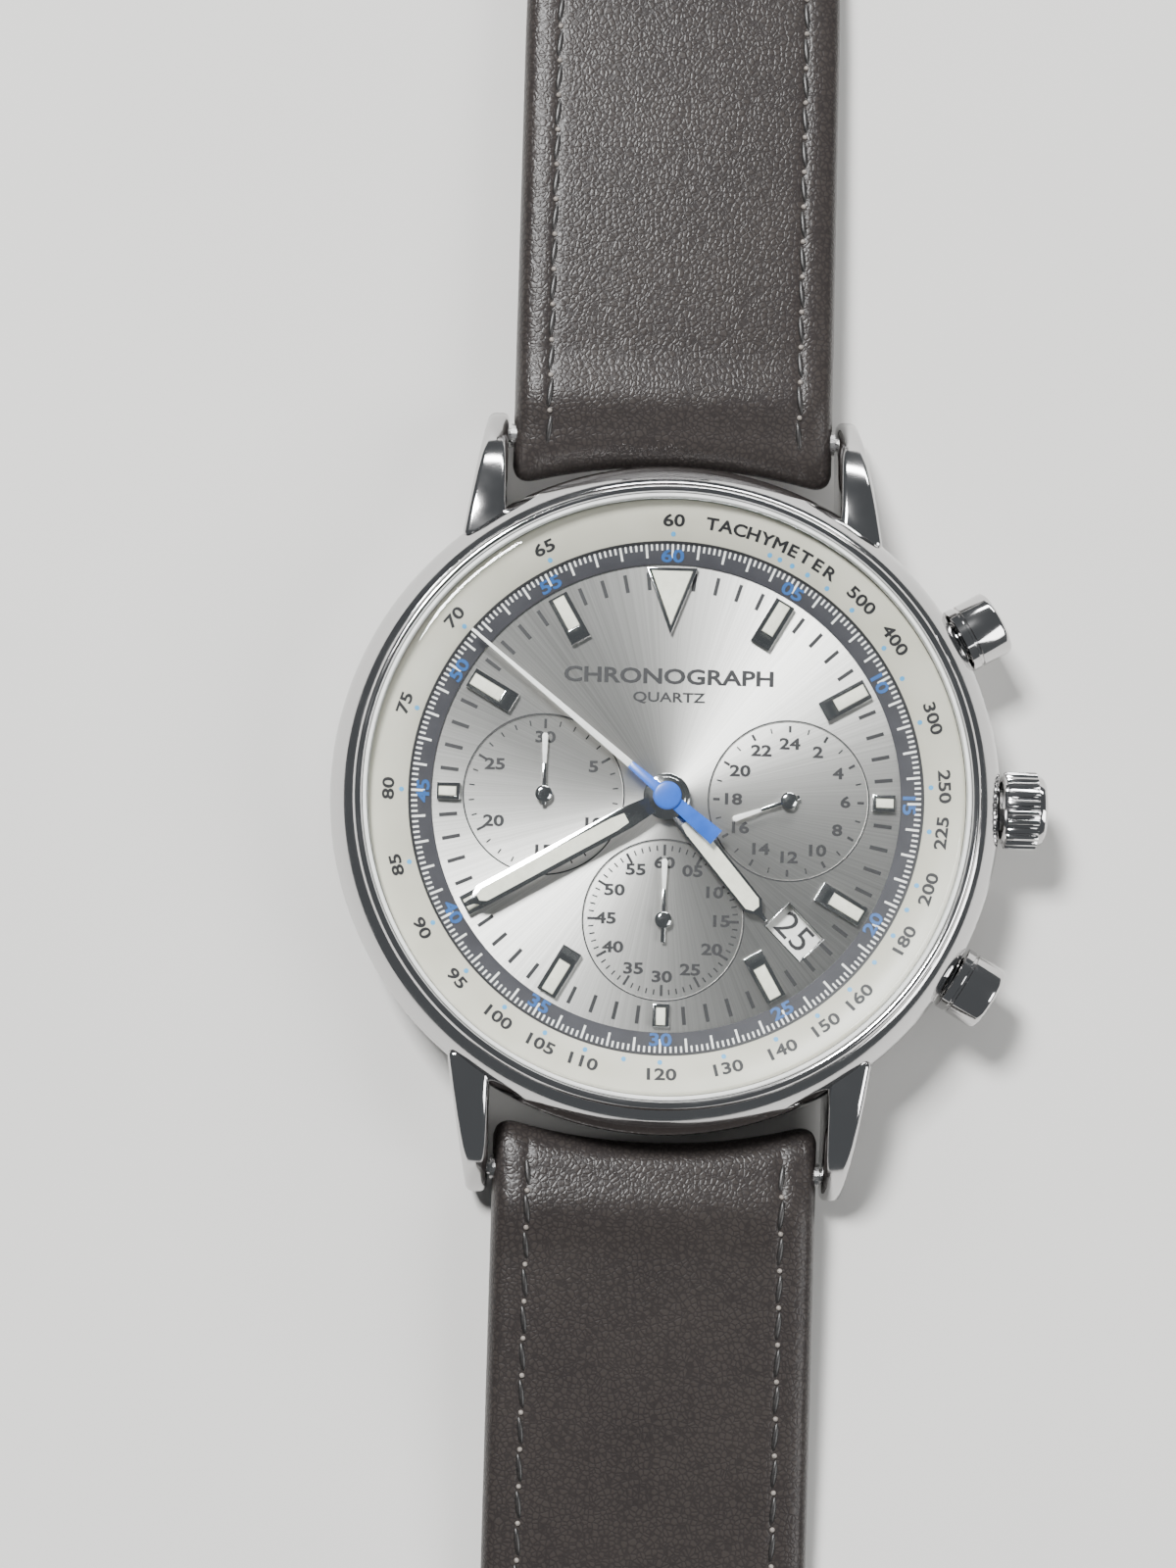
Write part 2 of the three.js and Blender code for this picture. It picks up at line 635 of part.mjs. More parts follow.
function springBar() {
  return turnedAlongX([
    [0, -11.15], [0.45, -11.15], [0.45, -10.35], [BAR_R, -10.35],
    [BAR_R, 10.35], [0.45, 10.35], [0.45, 11.15], [0, 11.15],
  ], 16);
}

addPart('strap_buckle_piece', bucklePiece(), greyLeather);
const holeStrap = addPart('strap_hole_piece', holePiece(), greyLeather);
holeStrap.rotation.z = Math.PI;
addPart('spring_bar_12', springBar(), brushedSteel).position.set(0, BAR_Y, BAR_Z);
addPart('spring_bar_6', springBar(), brushedSteel).position.set(0, -BAR_Y, BAR_Z);

// ---------- buckle ----------
const buckle = new THREE.Group();
buckle.position.set(0, BUCKLE_BAR_Y, BUCKLE_PIECE_TAIL_Z);
buckle.rotation.x = -radians(BUCKLE_TILT);
watch.add(buckle);

function buckleFrame() {
  const outline = new THREE.Shape();
  const [w, front] = [BUCKLE_HALF_WIDTH, BUCKLE_LENGTH + 1.2];
  outline.moveTo(-w, -1.3);
  outline.lineTo(w, -1.3);
  outline.lineTo(w, front - 2.4);
  outline.quadraticCurveTo(w, front, w - 2.4, front);
  outline.lineTo(-w + 2.4, front);
  outline.quadraticCurveTo(-w, front, -w, front - 2.4);
  outline.closePath();
  const [iw, inner] = [w - 1.5, BUCKLE_LENGTH - 1.0];
  const opening = outlineFrom([
    [-iw, -3], [iw, -3], [iw, inner - 1.2], [iw - 1.2, inner], [-iw + 1.2, inner], [-iw, inner - 1.2],
  ]);
  const half = BUCKLE_THICKNESS / 2;
  return cut(plate(outline, -half, half), plate(opening, -3, 3),
    turnedAlongX([[0, -10.6], [0.55, -10.6], [0.55, 10.6], [0, 10.6]], 12));
}

function buckleBar() {
  return turnedAlongX([
    [0, -10.4], [0.42, -10.4], [0.42, -9.35], [BUCKLE_BAR_R, -9.35],
    [BUCKLE_BAR_R, 9.35], [0.42, 9.35], [0.42, 10.4], [0, 10.4],
  ], 16);
}

const TONGUE_LIFT = 5;

function buckleTongue() {
  const loop = turnedAlongX([[0, -1.1], [1.35, -1.1], [1.35, 1.1], [0, 1.1]], 16);
  const blade = new THREE.BoxGeometry(1.7, BUCKLE_LENGTH + 1.2, 0.9)
    .translate(0, (BUCKLE_LENGTH + 1.2) / 2, 0.9)
    .rotateX(radians(TONGUE_LIFT));
  const bore = turnedAlongX([[0, -3], [BUCKLE_BAR_R + 0.12, -3], [BUCKLE_BAR_R + 0.12, 3], [0, 3]], 16);
  return cut(join(loop, blade), bore);
}

addPart('buckle_frame', buckleFrame(), polishedSteel, buckle);
addPart('buckle_bar', buckleBar(), brushedSteel, buckle);
addPart('buckle_tongue', buckleTongue(), polishedSteel, buckle);

// ---------- keepers ----------
function keeper(width, y, innerHeight) {
  const WALL = 1.0;
  const gap = 0.2;
  const [halfX, bottom] = [STRAP_TAIL_HALF_WIDTH + gap, BUCKLE_PIECE_TAIL_Z - STRAP_TAIL_HALF_THICKNESS - gap];
  const outer = outlineFrom([
    [-halfX - WALL, bottom - WALL], [halfX + WALL, bottom - WALL],
    [halfX + WALL, bottom + innerHeight + WALL], [-halfX - WALL, bottom + innerHeight + WALL],
  ]);
  const inner = [
    [-halfX, bottom], [-halfX, bottom + innerHeight], [halfX, bottom + innerHeight], [halfX, bottom],
  ];
  outer.holes.push(new THREE.Path(inner.map(([x, z]) => new THREE.Vector2(x, z))));
  return plate(outer, -width / 2, width / 2).rotateX(Math.PI / 2).translate(0, y, 0);
}

const KEEPER_INNER_HEIGHT = 4.9;
addPart('fixed_keeper', keeper(5, BUCKLE_BAR_Y - 8.5, KEEPER_INNER_HEIGHT), greyLeather);
addPart('free_keeper', keeper(5, BUCKLE_BAR_Y - 18.5, KEEPER_INNER_HEIGHT), greyLeather);

export default watch;
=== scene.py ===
# %% [markdown]
# # A chronograph wristwatch on a leather strap
# The frame holds the watch as it works: a steel case with its crown and pushers, the dial with its
# hands, and two strap pieces that swing on spring bars. Here each piece that shows gets its fine
# shape and its finish. Every size starts from the frame, so nothing needs fitting afterwards.

# %% The frame
import json
import math

import bpy
from mathutils import Matrix, Vector


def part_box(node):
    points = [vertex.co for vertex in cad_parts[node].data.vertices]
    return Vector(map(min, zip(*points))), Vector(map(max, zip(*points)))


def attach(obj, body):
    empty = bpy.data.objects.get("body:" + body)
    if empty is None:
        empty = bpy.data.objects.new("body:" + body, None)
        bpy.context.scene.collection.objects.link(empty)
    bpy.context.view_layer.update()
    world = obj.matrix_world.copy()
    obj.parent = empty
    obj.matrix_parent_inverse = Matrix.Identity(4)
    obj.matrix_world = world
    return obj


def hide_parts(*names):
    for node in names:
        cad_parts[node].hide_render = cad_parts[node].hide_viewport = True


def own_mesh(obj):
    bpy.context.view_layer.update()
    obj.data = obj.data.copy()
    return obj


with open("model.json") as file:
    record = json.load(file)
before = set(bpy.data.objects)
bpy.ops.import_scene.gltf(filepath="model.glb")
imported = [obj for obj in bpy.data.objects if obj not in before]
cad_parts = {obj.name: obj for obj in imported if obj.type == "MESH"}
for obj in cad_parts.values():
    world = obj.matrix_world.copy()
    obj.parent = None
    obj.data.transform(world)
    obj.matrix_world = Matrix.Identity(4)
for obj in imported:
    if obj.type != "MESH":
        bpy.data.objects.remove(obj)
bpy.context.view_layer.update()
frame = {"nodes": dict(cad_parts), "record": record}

MM = 0.001
TAU = 2 * math.pi

# %% [markdown]
# ## Sizes taken from the frame
# A watch is drawn in millimetres, so the frame's boxes are turned to millimetres once, and the
# radii and heights that the pieces share are named here.

# %% Shared sizes
def low_corner(node):
    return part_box(node)[0] / MM


def high_corner(node):
    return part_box(node)[1] / MM


CASE_R = high_corner("case_middle").x
CASE_BOTTOM = low_corner("case_middle").z
BEZEL_R = high_corner("bezel").x
BEZEL_TOP = high_corner("bezel").z
BEZEL_BOTTOM = low_corner("bezel").z
CRYSTAL_R = high_corner("crystal").x
CRYSTAL_TOP = high_corner("crystal").z
CRYSTAL_BOTTOM = low_corner("crystal").z
FLANGE_OUT = high_corner("tachymeter_ring").x
FLANGE_TOP = high_corner("tachymeter_ring").z
FLANGE_IN = 16.0
FLANGE_IN_TOP = 7.9
SECONDS_IN = 14.65
SECONDS_OUT = high_corner("seconds_ring").x
SECONDS_TOP = high_corner("seconds_ring").z
DIAL_R = high_corner("dial").x
DIAL_TOP = high_corner("dial").z
DIAL_BOTTOM = low_corner("dial").z
SIDE_AXIS = (low_corner("crown").z + high_corner("crown").z) / 2
BAR_Y = (low_corner("spring_bar_12").y + high_corner("spring_bar_12").y) / 2
BAR_Z = (low_corner("spring_bar_12").z + high_corner("spring_bar_12").z) / 2
SUBDIAL_OFFSET = 7.65
SUBDIAL_R = 5.0
PRINT_HEIGHT = 0.015
LIFT = 0.005
print(f"case {2 * CASE_R:.1f} mm across, {CRYSTAL_TOP:.1f} mm high")

# %% [markdown]
# ## The camera
# The watch is seen almost straight from above, from about 22 cm, a little from the 6 o'clock side.
# The camera is placed first, because every later choice is judged through it.

# %% Camera
camera_data = bpy.data.cameras.new("camera")
camera = bpy.data.objects.new("camera", camera_data)
bpy.context.scene.collection.objects.link(camera)
bpy.context.scene.camera = camera
CAMERA_ABOVE_DIAL = 219.6
camera.location = Vector((-8.50, -17.46, DIAL_TOP + CAMERA_ABOVE_DIAL)) * MM
camera.rotation_euler = [math.radians(a) for a in (4.70, -1.07, 1.58)]
camera_data.sensor_width = 36
camera_data.lens = 81.13
camera_data.clip_start = 0.01
print(f"camera {CAMERA_ABOVE_DIAL:.0f} mm above the dial")

# %% [markdown]
# ## Colour
# Colours are chosen as sRGB hex values, the way a paint chart gives them. The renderer works in
# linear values, so one function turns a hex colour to those, for finishes and lights alike.

# %% Colour
def linear(hex_colour):
    """An sRGB hex colour as linear red, green, blue and alpha."""
    channels = [int(hex_colour[i:i + 2], 16) / 255 for i in (1, 3, 5)]
    return (*[c / 12.92 if c <= 0.04045 else ((c + 0.055) / 1.055) ** 2.4 for c in channels], 1)


print("middle grey is", round(linear("#808080")[0], 3), "in linear light")

# %% [markdown]
# ## Studio
# A pale matt table, one soft light from the upper left, a weaker one from the right, and a long
# narrow one behind the 12 o'clock side that draws clean lines on polished steel. The room itself
# is dim, because polished steel only looks like steel when it has something dark to mirror.

# %% Table and lights
def area_light(name, place, size, power, height=None):
    """A soft light that looks at the watch, from a place in metres. A height makes it oblong."""
    data = bpy.data.lights.new(name, "AREA")
    data.energy = power
    data.size = size
    if height:
        data.shape = "RECTANGLE"
        data.size_y = height
    light = bpy.data.objects.new(name, data)
    light.location = place
    light.rotation_euler = (-Vector(place)).to_track_quat("-Z", "Y").to_euler()
    bpy.context.scene.collection.objects.link(light)


area_light("key", (-0.51, 0.72, 1.44), 0.36, 68)
area_light("fill", (1.26, -0.48, 1.20), 0.90, 22)
area_light("strip", (0.30, 1.50, 0.66), 1.20, 18, 0.18)

world = bpy.data.worlds.new("studio")
bpy.context.scene.world = world
world.use_nodes = True
room = world.node_tree.nodes["Background"].inputs
room["Color"].default_value = linear("#e7edf3")
room["Strength"].default_value = 0.15

# %% [markdown]
# ## Working with finishes
# Each finish is a small tree of shader nodes. One function adds a node with its settings and its
# links. Patterns are laid out on each piece's own coordinates, which are in metres, so a pattern's
# scale is worked out from the size of its features in millimetres.

# %% Material helpers
FINE_RELIEF = 0.01 * MM


def feed(tree, node, **inputs):
    """Sets inputs by name, or by number as i0. A node stands for its own first output."""
    for name, value in inputs.items():
        key = int(name[1:]) if name[0] == "i" and name[1:].isdigit() else name.replace("_", " ")
        if isinstance(value, bpy.types.Node):
            value = value.outputs[0]
        if isinstance(value, bpy.types.NodeSocket):
            tree.links.new(value, node.inputs[key])
        else:
            node.inputs[key].default_value = value


def add_node(tree, kind, settings=None, stops=(), **inputs):
    """Adds a node. A setting is an attribute, and stops are a ramp's places and hex colours."""
    node = tree.nodes.new(kind)
    for name, value in (settings or {}).items():
        setattr(node, name, value)
    for i, (place, hex_colour) in enumerate(stops):
        node.color_ramp.elements[i].position = place
        node.color_ramp.elements[i].color = linear(hex_colour)
    feed(tree, node, **inputs)
    return node


def new_finish(name, **shader_values):
    """A new material, with its tree, its shader, and the place on the piece."""
    material = bpy.data.materials.new(name)
    material.use_nodes = True
    tree = material.node_tree
    shader = tree.nodes["Principled BSDF"]
    feed(tree, shader, **shader_values)
    place = add_node(tree, "ShaderNodeTexCoord").outputs["Object"]
    return material, tree, shader, place


def per_mm(size):
    """The scale of a pattern whose features are this many millimetres."""
    return 1 / (size * MM)


print("a pattern of 0.5 mm features has a scale of", per_mm(0.5))

# %% [markdown]
# ### Polished steel
# Case, bezel, lugs, crown and buckle are 316L stainless steel, buffed on a wheel. It mirrors its
# surroundings, with the faintest wavy haze of buffing lines and a few hairline scratches, which
# only show where a highlight passes over them.

# %% Polished steel
def make_polished_steel():
    material, tree, shader, place = new_finish(
        "buffed 316L steel", Metallic=1.0, Base_Color=linear("#c9c8c8"))
    haze = add_node(tree, "ShaderNodeTexNoise", Vector=place, Scale=per_mm(3.0), Detail=3.0)
    rough = add_node(tree, "ShaderNodeMapRange", Value=haze, From_Min=0.3, From_Max=0.7,
                     To_Min=0.05, To_Max=0.13)
    lines = add_node(tree, "ShaderNodeTexNoise", Vector=place, Scale=per_mm(0.25), Detail=2.0)
    bump = add_node(tree, "ShaderNodeBump", Strength=0.05, Distance=FINE_RELIEF, Height=lines)
    feed(tree, shader, Roughness=rough, Normal=bump)
    return material


# %% [markdown]
# ### Brushed steel
# The case back is turned on a lathe, so its fine grooves run in circles about the watch's axis.
# Distance from that axis, broken up by noise, gives rings about a tenth of a millimetre apart,
# which is coarser than the real 0.03 mm so that they show.

# %% Brushed steel
def make_brushed_steel():
    material, tree, shader, place = new_finish(
        "circular-brushed steel", Metallic=1.0, Base_Color=linear("#b4b3b2"), Roughness=0.3)
    split = add_node(tree, "ShaderNodeSeparateXYZ", Vector=place)
    flat = add_node(tree, "ShaderNodeCombineXYZ", X=split.outputs["X"], Y=split.outputs["Y"])
    radius = add_node(tree, "ShaderNodeVectorMath", {"operation": "LENGTH"}, i0=flat)
    along = add_node(tree, "ShaderNodeCombineXYZ", X=radius.outputs["Value"], Z=split.outputs["Z"])
    grooves = add_node(tree, "ShaderNodeTexNoise", Vector=along, Scale=per_mm(0.12), Detail=2.0)
    tone = add_node(tree, "ShaderNodeMapRange", Value=grooves, From_Min=0.3, From_Max=0.7,
                    To_Min=0.22, To_Max=0.42)
    bump = add_node(tree, "ShaderNodeBump", Strength=0.3, Distance=FINE_RELIEF, Height=grooves)
    feed(tree, shader, Roughness=tone, Normal=bump)
    return material


# %% [markdown]
# ### Sunburst dial
# The dial is brass, silver plated and brushed outwards from its centre. Each hair-fine groove
# spreads the light across itself, so the light gathers in bright wedges that point at the hub and
# swing round as the watch tilts. That is anisotropy about the dial's axis, with streaks that are a
# noise of the direction from the hub.

# %% Sunburst dial
def make_sunburst(name, tone_low, tone_high, anisotropy):
    material, tree, shader, place = new_finish(
        name, Metallic=1.0, Roughness=0.34, Anisotropic=anisotropy)
    split = add_node(tree, "ShaderNodeSeparateXYZ", Vector=place)
    flat = add_node(tree, "ShaderNodeCombineXYZ", X=split.outputs["X"], Y=split.outputs["Y"])
    direction = add_node(tree, "ShaderNodeVectorMath", {"operation": "NORMALIZE"}, i0=flat)
    streaks = add_node(tree, "ShaderNodeTexNoise", Vector=direction, Scale=90.0, Detail=4.0,
                       Roughness=0.7)
    colour = add_node(tree, "ShaderNodeValToRGB", stops=((0.3, tone_low), (0.7, tone_high)),
                      Fac=streaks)
    tangent = add_node(tree, "ShaderNodeTangent", {"direction_type": "RADIAL", "axis": "Z"})
    bump = add_node(tree, "ShaderNodeBump", Strength=0.08, Distance=FINE_RELIEF, Height=streaks)
    feed(tree, shader, Base_Color=colour, Tangent=tangent, Normal=bump)
    return material


# %% [markdown]
# ### Paint, ink, nylon and moulded parts
# Printed rings, figures and the blue hand are paint films: smooth, with a slight orange peel and a
# soft speck of unevenness. One recipe serves them all, with its own colour and gloss.

# %% Painted finishes
def make_paint(name, hex_colour, shade, roughness, speck=0.6, coat=0.0):
    material, tree, shader, place = new_finish(name, Roughness=roughness, Coat_Weight=coat)
    cloud = add_node(tree, "ShaderNodeTexNoise", Vector=place, Scale=per_mm(speck), Detail=4.0)
    colour = add_node(tree, "ShaderNodeValToRGB", stops=((0.3, shade), (0.7, hex_colour)),
                      Fac=cloud)
    peel = add_node(tree, "ShaderNodeTexNoise", Vector=place, Scale=per_mm(0.15), Detail=1.0)
    bump = add_node(tree, "ShaderNodeBump", Strength=0.08, Distance=FINE_RELIEF, Height=peel)
    feed(tree, shader, Base_Color=colour, Normal=bump)
    return material


# %% [markdown]
# ### Plated brass and copper
# Inside, the plates are nickel-plated brass with a soft grain, and the coil is varnished copper
# wire, wound 0.1 mm apart along its own length.

# %% Movement metals
def make_grained_metal(name, hex_colour, shade, roughness):
    material, tree, shader, place = new_finish(name, Metallic=1.0, Roughness=roughness)
    grain = add_node(tree, "ShaderNodeTexNoise", Vector=place, Scale=per_mm(0.3), Detail=3.0)
    colour = add_node(tree, "ShaderNodeValToRGB", stops=((0.3, shade), (0.7, hex_colour)),
                      Fac=grain)
    feed(tree, shader, Base_Color=colour)
    return material


def make_wound_copper():
    material, tree, shader, place = new_finish("varnished copper wire", Metallic=1.0, Roughness=0.3)
    turns = add_node(tree, "ShaderNodeTexWave", {"bands_direction": "X"}, Vector=place,
                     Scale=per_mm(0.1) / TAU)
    colour = add_node(tree, "ShaderNodeValToRGB", stops=((0.0, "#7a3f20"), (1.0, "#c97c4a")),
                      Fac=turns.outputs["Fac"])
    feed(tree, shader, Base_Color=colour)
    return material


# %% [markdown]
# ### Crystal
# The crystal is polished mineral glass. From above it is nearly invisible: about 4% of the light
# is mirrored head on, and much more at a slant, which is what Fresnel gives. Light has to reach
# the dial through it, so what isn't mirrored passes straight through. Only the face a ray enters
# by mirrors it, because the real crystal doesn't trap light inside when seen from the side.

# %% Crystal glass
def make_crystal():
    material, tree, shader, place = new_finish(
        "polished mineral glass", Metallic=1.0, Base_Color=linear("#f4f8fa"))
    smear = add_node(tree, "ShaderNodeTexNoise", Vector=place, Scale=per_mm(6.0), Detail=2.0)
    rough = add_node(tree, "ShaderNodeMapRange", Value=smear, From_Min=0.4, From_Max=0.7,
                     To_Min=0.01, To_Max=0.05)
    clear = add_node(tree, "ShaderNodeBsdfTransparent", Color=linear("#fdfefe"))
    fresnel = add_node(tree, "ShaderNodeFresnel", IOR=1.5)
    side = add_node(tree, "ShaderNodeNewGeometry").outputs["Backfacing"]
    outer = add_node(tree, "ShaderNodeMath", {"operation": "SUBTRACT"}, i0=1.0, i1=side)
    share = add_node(tree, "ShaderNodeMath", {"operation": "MULTIPLY"}, i0=fresnel, i1=outer)
    mixed = add_node(tree, "ShaderNodeMixShader", i0=share, i1=clear, i2=shader)
    feed(tree, shader, Roughness=rough)
    feed(tree, tree.nodes["Material Output"], Surface=mixed)
    return material


# %% [markdown]
# ### Leather
# The strap is calf leather, dyed a grey taupe and finished with a light gloss. Its grain is a net
# of pebbles a third of a millimetre wide with finer wrinkles between, which shows only where the
# light glances off, so it is mostly bump. The dye is a little uneven, and the creases between the
# pebbles are coloured darker than the pebbles.

# %% Leather
def make_leather(name, dye, crease_colour, roughness, pebble):
    material, tree, shader, place = new_finish(name, Roughness=roughness, Specular_IOR_Level=0.17)
    wobble = add_node(tree, "ShaderNodeTexNoise", Vector=place, Scale=per_mm(1.2), Detail=2.0)
    nudge = add_node(tree, "ShaderNodeVectorMath", {"operation": "SCALE"},
                     i0=wobble.outputs["Color"], Scale=0.4 * MM)
    bent = add_node(tree, "ShaderNodeVectorMath", {"operation": "ADD"}, i0=place, i1=nudge)
    pebbles = add_node(tree, "ShaderNodeTexVoronoi", {"feature": "DISTANCE_TO_EDGE"}, Vector=bent,
                       Scale=per_mm(pebble))
    rounded = add_node(tree, "ShaderNodeMapRange", {"interpolation_type": "SMOOTHSTEP"},
                       Value=pebbles, From_Min=0.0, From_Max=0.28, To_Min=0.0, To_Max=1.0)
    wrinkles = add_node(tree, "ShaderNodeTexNoise", Vector=bent, Scale=per_mm(0.28), Detail=4.0,
                        Roughness=0.6)
    height = add_node(tree, "ShaderNodeMath", {"operation": "MULTIPLY_ADD"}, i0=wrinkles, i1=1.4,
                      i2=rounded)
    bump = add_node(tree, "ShaderNodeBump", Strength=0.26, Distance=5 * FINE_RELIEF, Height=height)
    cloud = add_node(tree, "ShaderNodeTexNoise", Vector=place, Scale=per_mm(7.0), Detail=5.0)
    faint = add_node(tree, "ShaderNodeMath", {"operation": "MULTIPLY"}, i0=cloud, i1=0.5)
    # the colour is darker along the creases between the pebbles and lighter on their tops
    tone = add_node(tree, "ShaderNodeMath", {"operation": "MULTIPLY_ADD"}, i0=rounded, i1=0.5,
                    i2=faint)
    colour = add_node(tree, "ShaderNodeValToRGB", stops=((0.1, crease_colour), (0.8, dye)), Fac=tone)
    feed(tree, shader, Base_Color=colour, Normal=bump)
    return material


# %% [markdown]
# ### The set of finishes
# All the finishes the watch needs, made once. The keys are the record's material slots, with a few
# more for print, lume, thread and lining, which the slots don't name.

# %% Making the finishes
FINISHES = {
    "polished_steel": make_polished_steel(),
    "brushed_steel": make_brushed_steel(),
    "crystal_glass": make_crystal(),
    "gasket_nylon": make_paint("translucent white nylon", "#e4e5e2", "#d3d5d2", 0.35, 2.0),
    "black_rubber": make_paint("nitrile rubber", "#1d1d1e", "#141415", 0.7),
    "silver_dial": make_sunburst("silvered sunburst brass", "#c4c1bd", "#e6e3df", 0.7),
    "cream_flange": make_paint("satin cream lacquer", "#c9c5b6", "#c0bcac", 0.38, 3.0),
    "grey_flange": make_paint("satin slate lacquer", "#37363b", "#2f2e33", 0.68, 1.5),
    "blue_paint": make_paint("cobalt blue enamel", "#2c62c6", "#2456b4", 0.28, 0.8, 0.4),
    "white_print": make_paint("matt white print", "#efeeea", "#e2e0dc", 0.5),
    "plated_brass": make_grained_metal("nickel-plated brass", "#c9b98a", "#a8976a", 0.32),
    "copper_wire": make_wound_copper(),
    "circuit_green": make_paint("green solder mask", "#2d6b46", "#235638", 0.45, 1.0),
    "black_plastic": make_paint("moulded black acetal", "#2b2b2d", "#202022", 0.5),
    "grey_leather": make_leather("dyed calf leather", "#322e2c", "#232020", 0.31, 0.34),
    "black_ink": make_paint("black pad-printing ink", "#222023", "#19181a", 0.55),
    "blue_ink": make_paint("blue pad-printing ink", "#1f5796", "#194b85", 0.55),
    "pale_blue_ink": make_paint("pale blue pad-printing ink", "#56a5d8", "#4798cc", 0.45),
    "lume": make_paint("cream luminous paint", "#e6e4d4", "#d8d6c5", 0.55, 0.4),
    "thread": make_paint("waxed black polyester thread", "#242221", "#121111", 0.4, 0.3),
    # the pale specks between the stitches are painted highlights where the leather rises
    "painted_stitch_glint": make_paint("painted stitch glint", "#8b857f", "#655f5a", 0.5, 0.2),
    "lining": make_leather("nubuck lining", "#2f2c2b", "#242120", 0.75, 0.3),
    "table": make_paint("matt pale table", "#c9c8c5", "#c3c2bf", 0.7, 60.0),
}
print(len(FINISHES), "finishes")

# %% Putting finishes on the frame's own pieces
slot_of = {row["node"]: row["material_slot"] for row in frame["record"]["subparts"]}
for node, obj in frame["nodes"].items():
    obj.data.materials.clear()
    obj.data.materials.append(FINISHES[slot_of[node]])

# %% [markdown]
# ## Modelling helpers
# Every new piece is worked as by hand: start from a primitive, select, extrude, spin, bevel. The
# operators act on whatever is selected, so each helper first clears the selection.

# %% Selection and modes
def only(obj):
    """Selects one object and makes it active."""
    if bpy.context.object and bpy.context.object.mode != "OBJECT":
        bpy.ops.object.mode_set(mode="OBJECT")
    bpy.ops.object.select_all(action="DESELECT")
    obj.select_set(True)
    bpy.context.view_layer.objects.active = obj
    return obj


def clear_selection():
    bpy.ops.object.select_all(action="DESELECT")


def edit(obj):
    only(obj)
    bpy.ops.object.mode_set(mode="EDIT")
    bpy.ops.mesh.select_mode(type="VERT")
    bpy.ops.mesh.select_all(action="SELECT")


def leave_edit():
    bpy.ops.object.mode_set(mode="OBJECT")


def select_faces(obj, test):
    """In edit mode, selects just the faces whose centre (mm) and normal pass the test."""
    bpy.ops.mesh.select_mode(type="FACE")
    bpy.ops.mesh.select_all(action="DESELECT")
    bpy.ops.object.mode_set(mode="OBJECT")
    for face in obj.data.polygons:
        face.select = test(face.center / MM, face.normal)
    bpy.ops.object.mode_set(mode="EDIT")


def select_points(obj, test):
    """In edit mode, selects just the vertices whose place (mm) passes the test."""
    bpy.ops.mesh.select_mode(type="VERT")
    bpy.ops.mesh.select_all(action="DESELECT")
    bpy.ops.object.mode_set(mode="OBJECT")
    for vertex in obj.data.vertices:
        vertex.select = test(vertex.co / MM)
    bpy.ops.object.mode_set(mode="EDIT")


def tidy_mesh(obj):
    """Merges doubles and turns every face outwards."""
    edit(obj)
    bpy.ops.mesh.remove_doubles(threshold=0.0005 * MM)
    bpy.ops.mesh.normals_make_consistent(inside=False)
    leave_edit()
    return obj


def apply_place(obj):
    only(obj)
    bpy.ops.object.transform_apply(location=True, rotation=True, scale=True)
    return obj


def modify(obj, kind, **settings):
    """Adds a modifier and applies it at once."""
    only(obj)
    modifier = obj.modifiers.new(kind.lower(), kind)
    for name, value in settings.items():
        setattr(modifier, name, value)
    bpy.ops.object.modifier_apply(modifier=modifier.name)
    return obj


def soften(obj, width, segments=3, angle=35):
    return modify(obj, "BEVEL", width=width * MM, segments=segments, limit_method="ANGLE",
                  angle_limit=math.radians(angle), harden_normals=False)


def combine(obj, tool, operation):
    """A boolean with a closed tool, which is then thrown away."""
    modify(obj, "BOOLEAN", operation=operation, object=tool, solver="EXACT")
    bpy.data.objects.remove(tool)
    return obj


def cut(obj, tool):
    return combine(obj, tool, "DIFFERENCE")


def extrude(step):
    """Extrudes what is selected by a step in millimetres."""
    bpy.ops.mesh.extrude_region_move(TRANSFORM_OT_translate={"value": Vector(step) * MM})


def join(name, parts):
    clear_selection()
    for part in parts:
        part.select_set(True)
    bpy.context.view_layer.objects.active = parts[0]
    if len(parts) > 1:
        bpy.ops.object.join()
    obj = bpy.context.view_layer.objects.active
    obj.name = name
    return obj


def finish(obj, name, body, slot, nodes=(), finish_name=None, smooth_angle=35):
    """Names a piece, smooths it, gives it its finish and tells the frame what it is."""
    apply_place(obj)
    obj.name = name
    obj.data.name = name
    bpy.ops.object.shade_smooth_by_angle(angle=math.radians(smooth_angle))
    if finish_name or not obj.data.materials:
        obj.data.materials.clear()
        obj.data.materials.append(FINISHES[finish_name or slot])
    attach(obj, body)
    if nodes:
        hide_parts(*nodes)
    print(f"{name}: {len(obj.data.polygons)} faces")
    return obj


# %% [markdown]
# A turned piece is drawn as half of its section and spun about the watch's axis, which is how a
# lathe makes it. A plate is drawn as an outline, filled and extruded, as a press cuts it.

# %% Turning and pressing
def draw_line(points):
    """A chain of edges through points in millimetres, drawn by extruding one vertex."""
    clear_selection()
    bpy.ops.mesh.primitive_plane_add(size=MM)
    obj = bpy.context.object
    edit(obj)
    bpy.ops.mesh.merge(type="CENTER")
    bpy.ops.transform.translate(value=Vector(points[0]) * MM)
    for start, end in zip(points, points[1:]):
        step = (Vector(end) - Vector(start)) * MM
        bpy.ops.mesh.extrude_vertices_move(TRANSFORM_OT_translate={"value": step})
    bpy.ops.mesh.select_all(action="SELECT")
    bpy.ops.mesh.remove_doubles(threshold=0.0005 * MM)
    return obj


def draw_face(points):
    """A flat face inside a closed chain of points, left selected in edit mode."""
    obj = draw_line([*points, points[0]])
    bpy.ops.mesh.select_all(action="SELECT")
    bpy.ops.mesh.edge_face_add()
    return obj


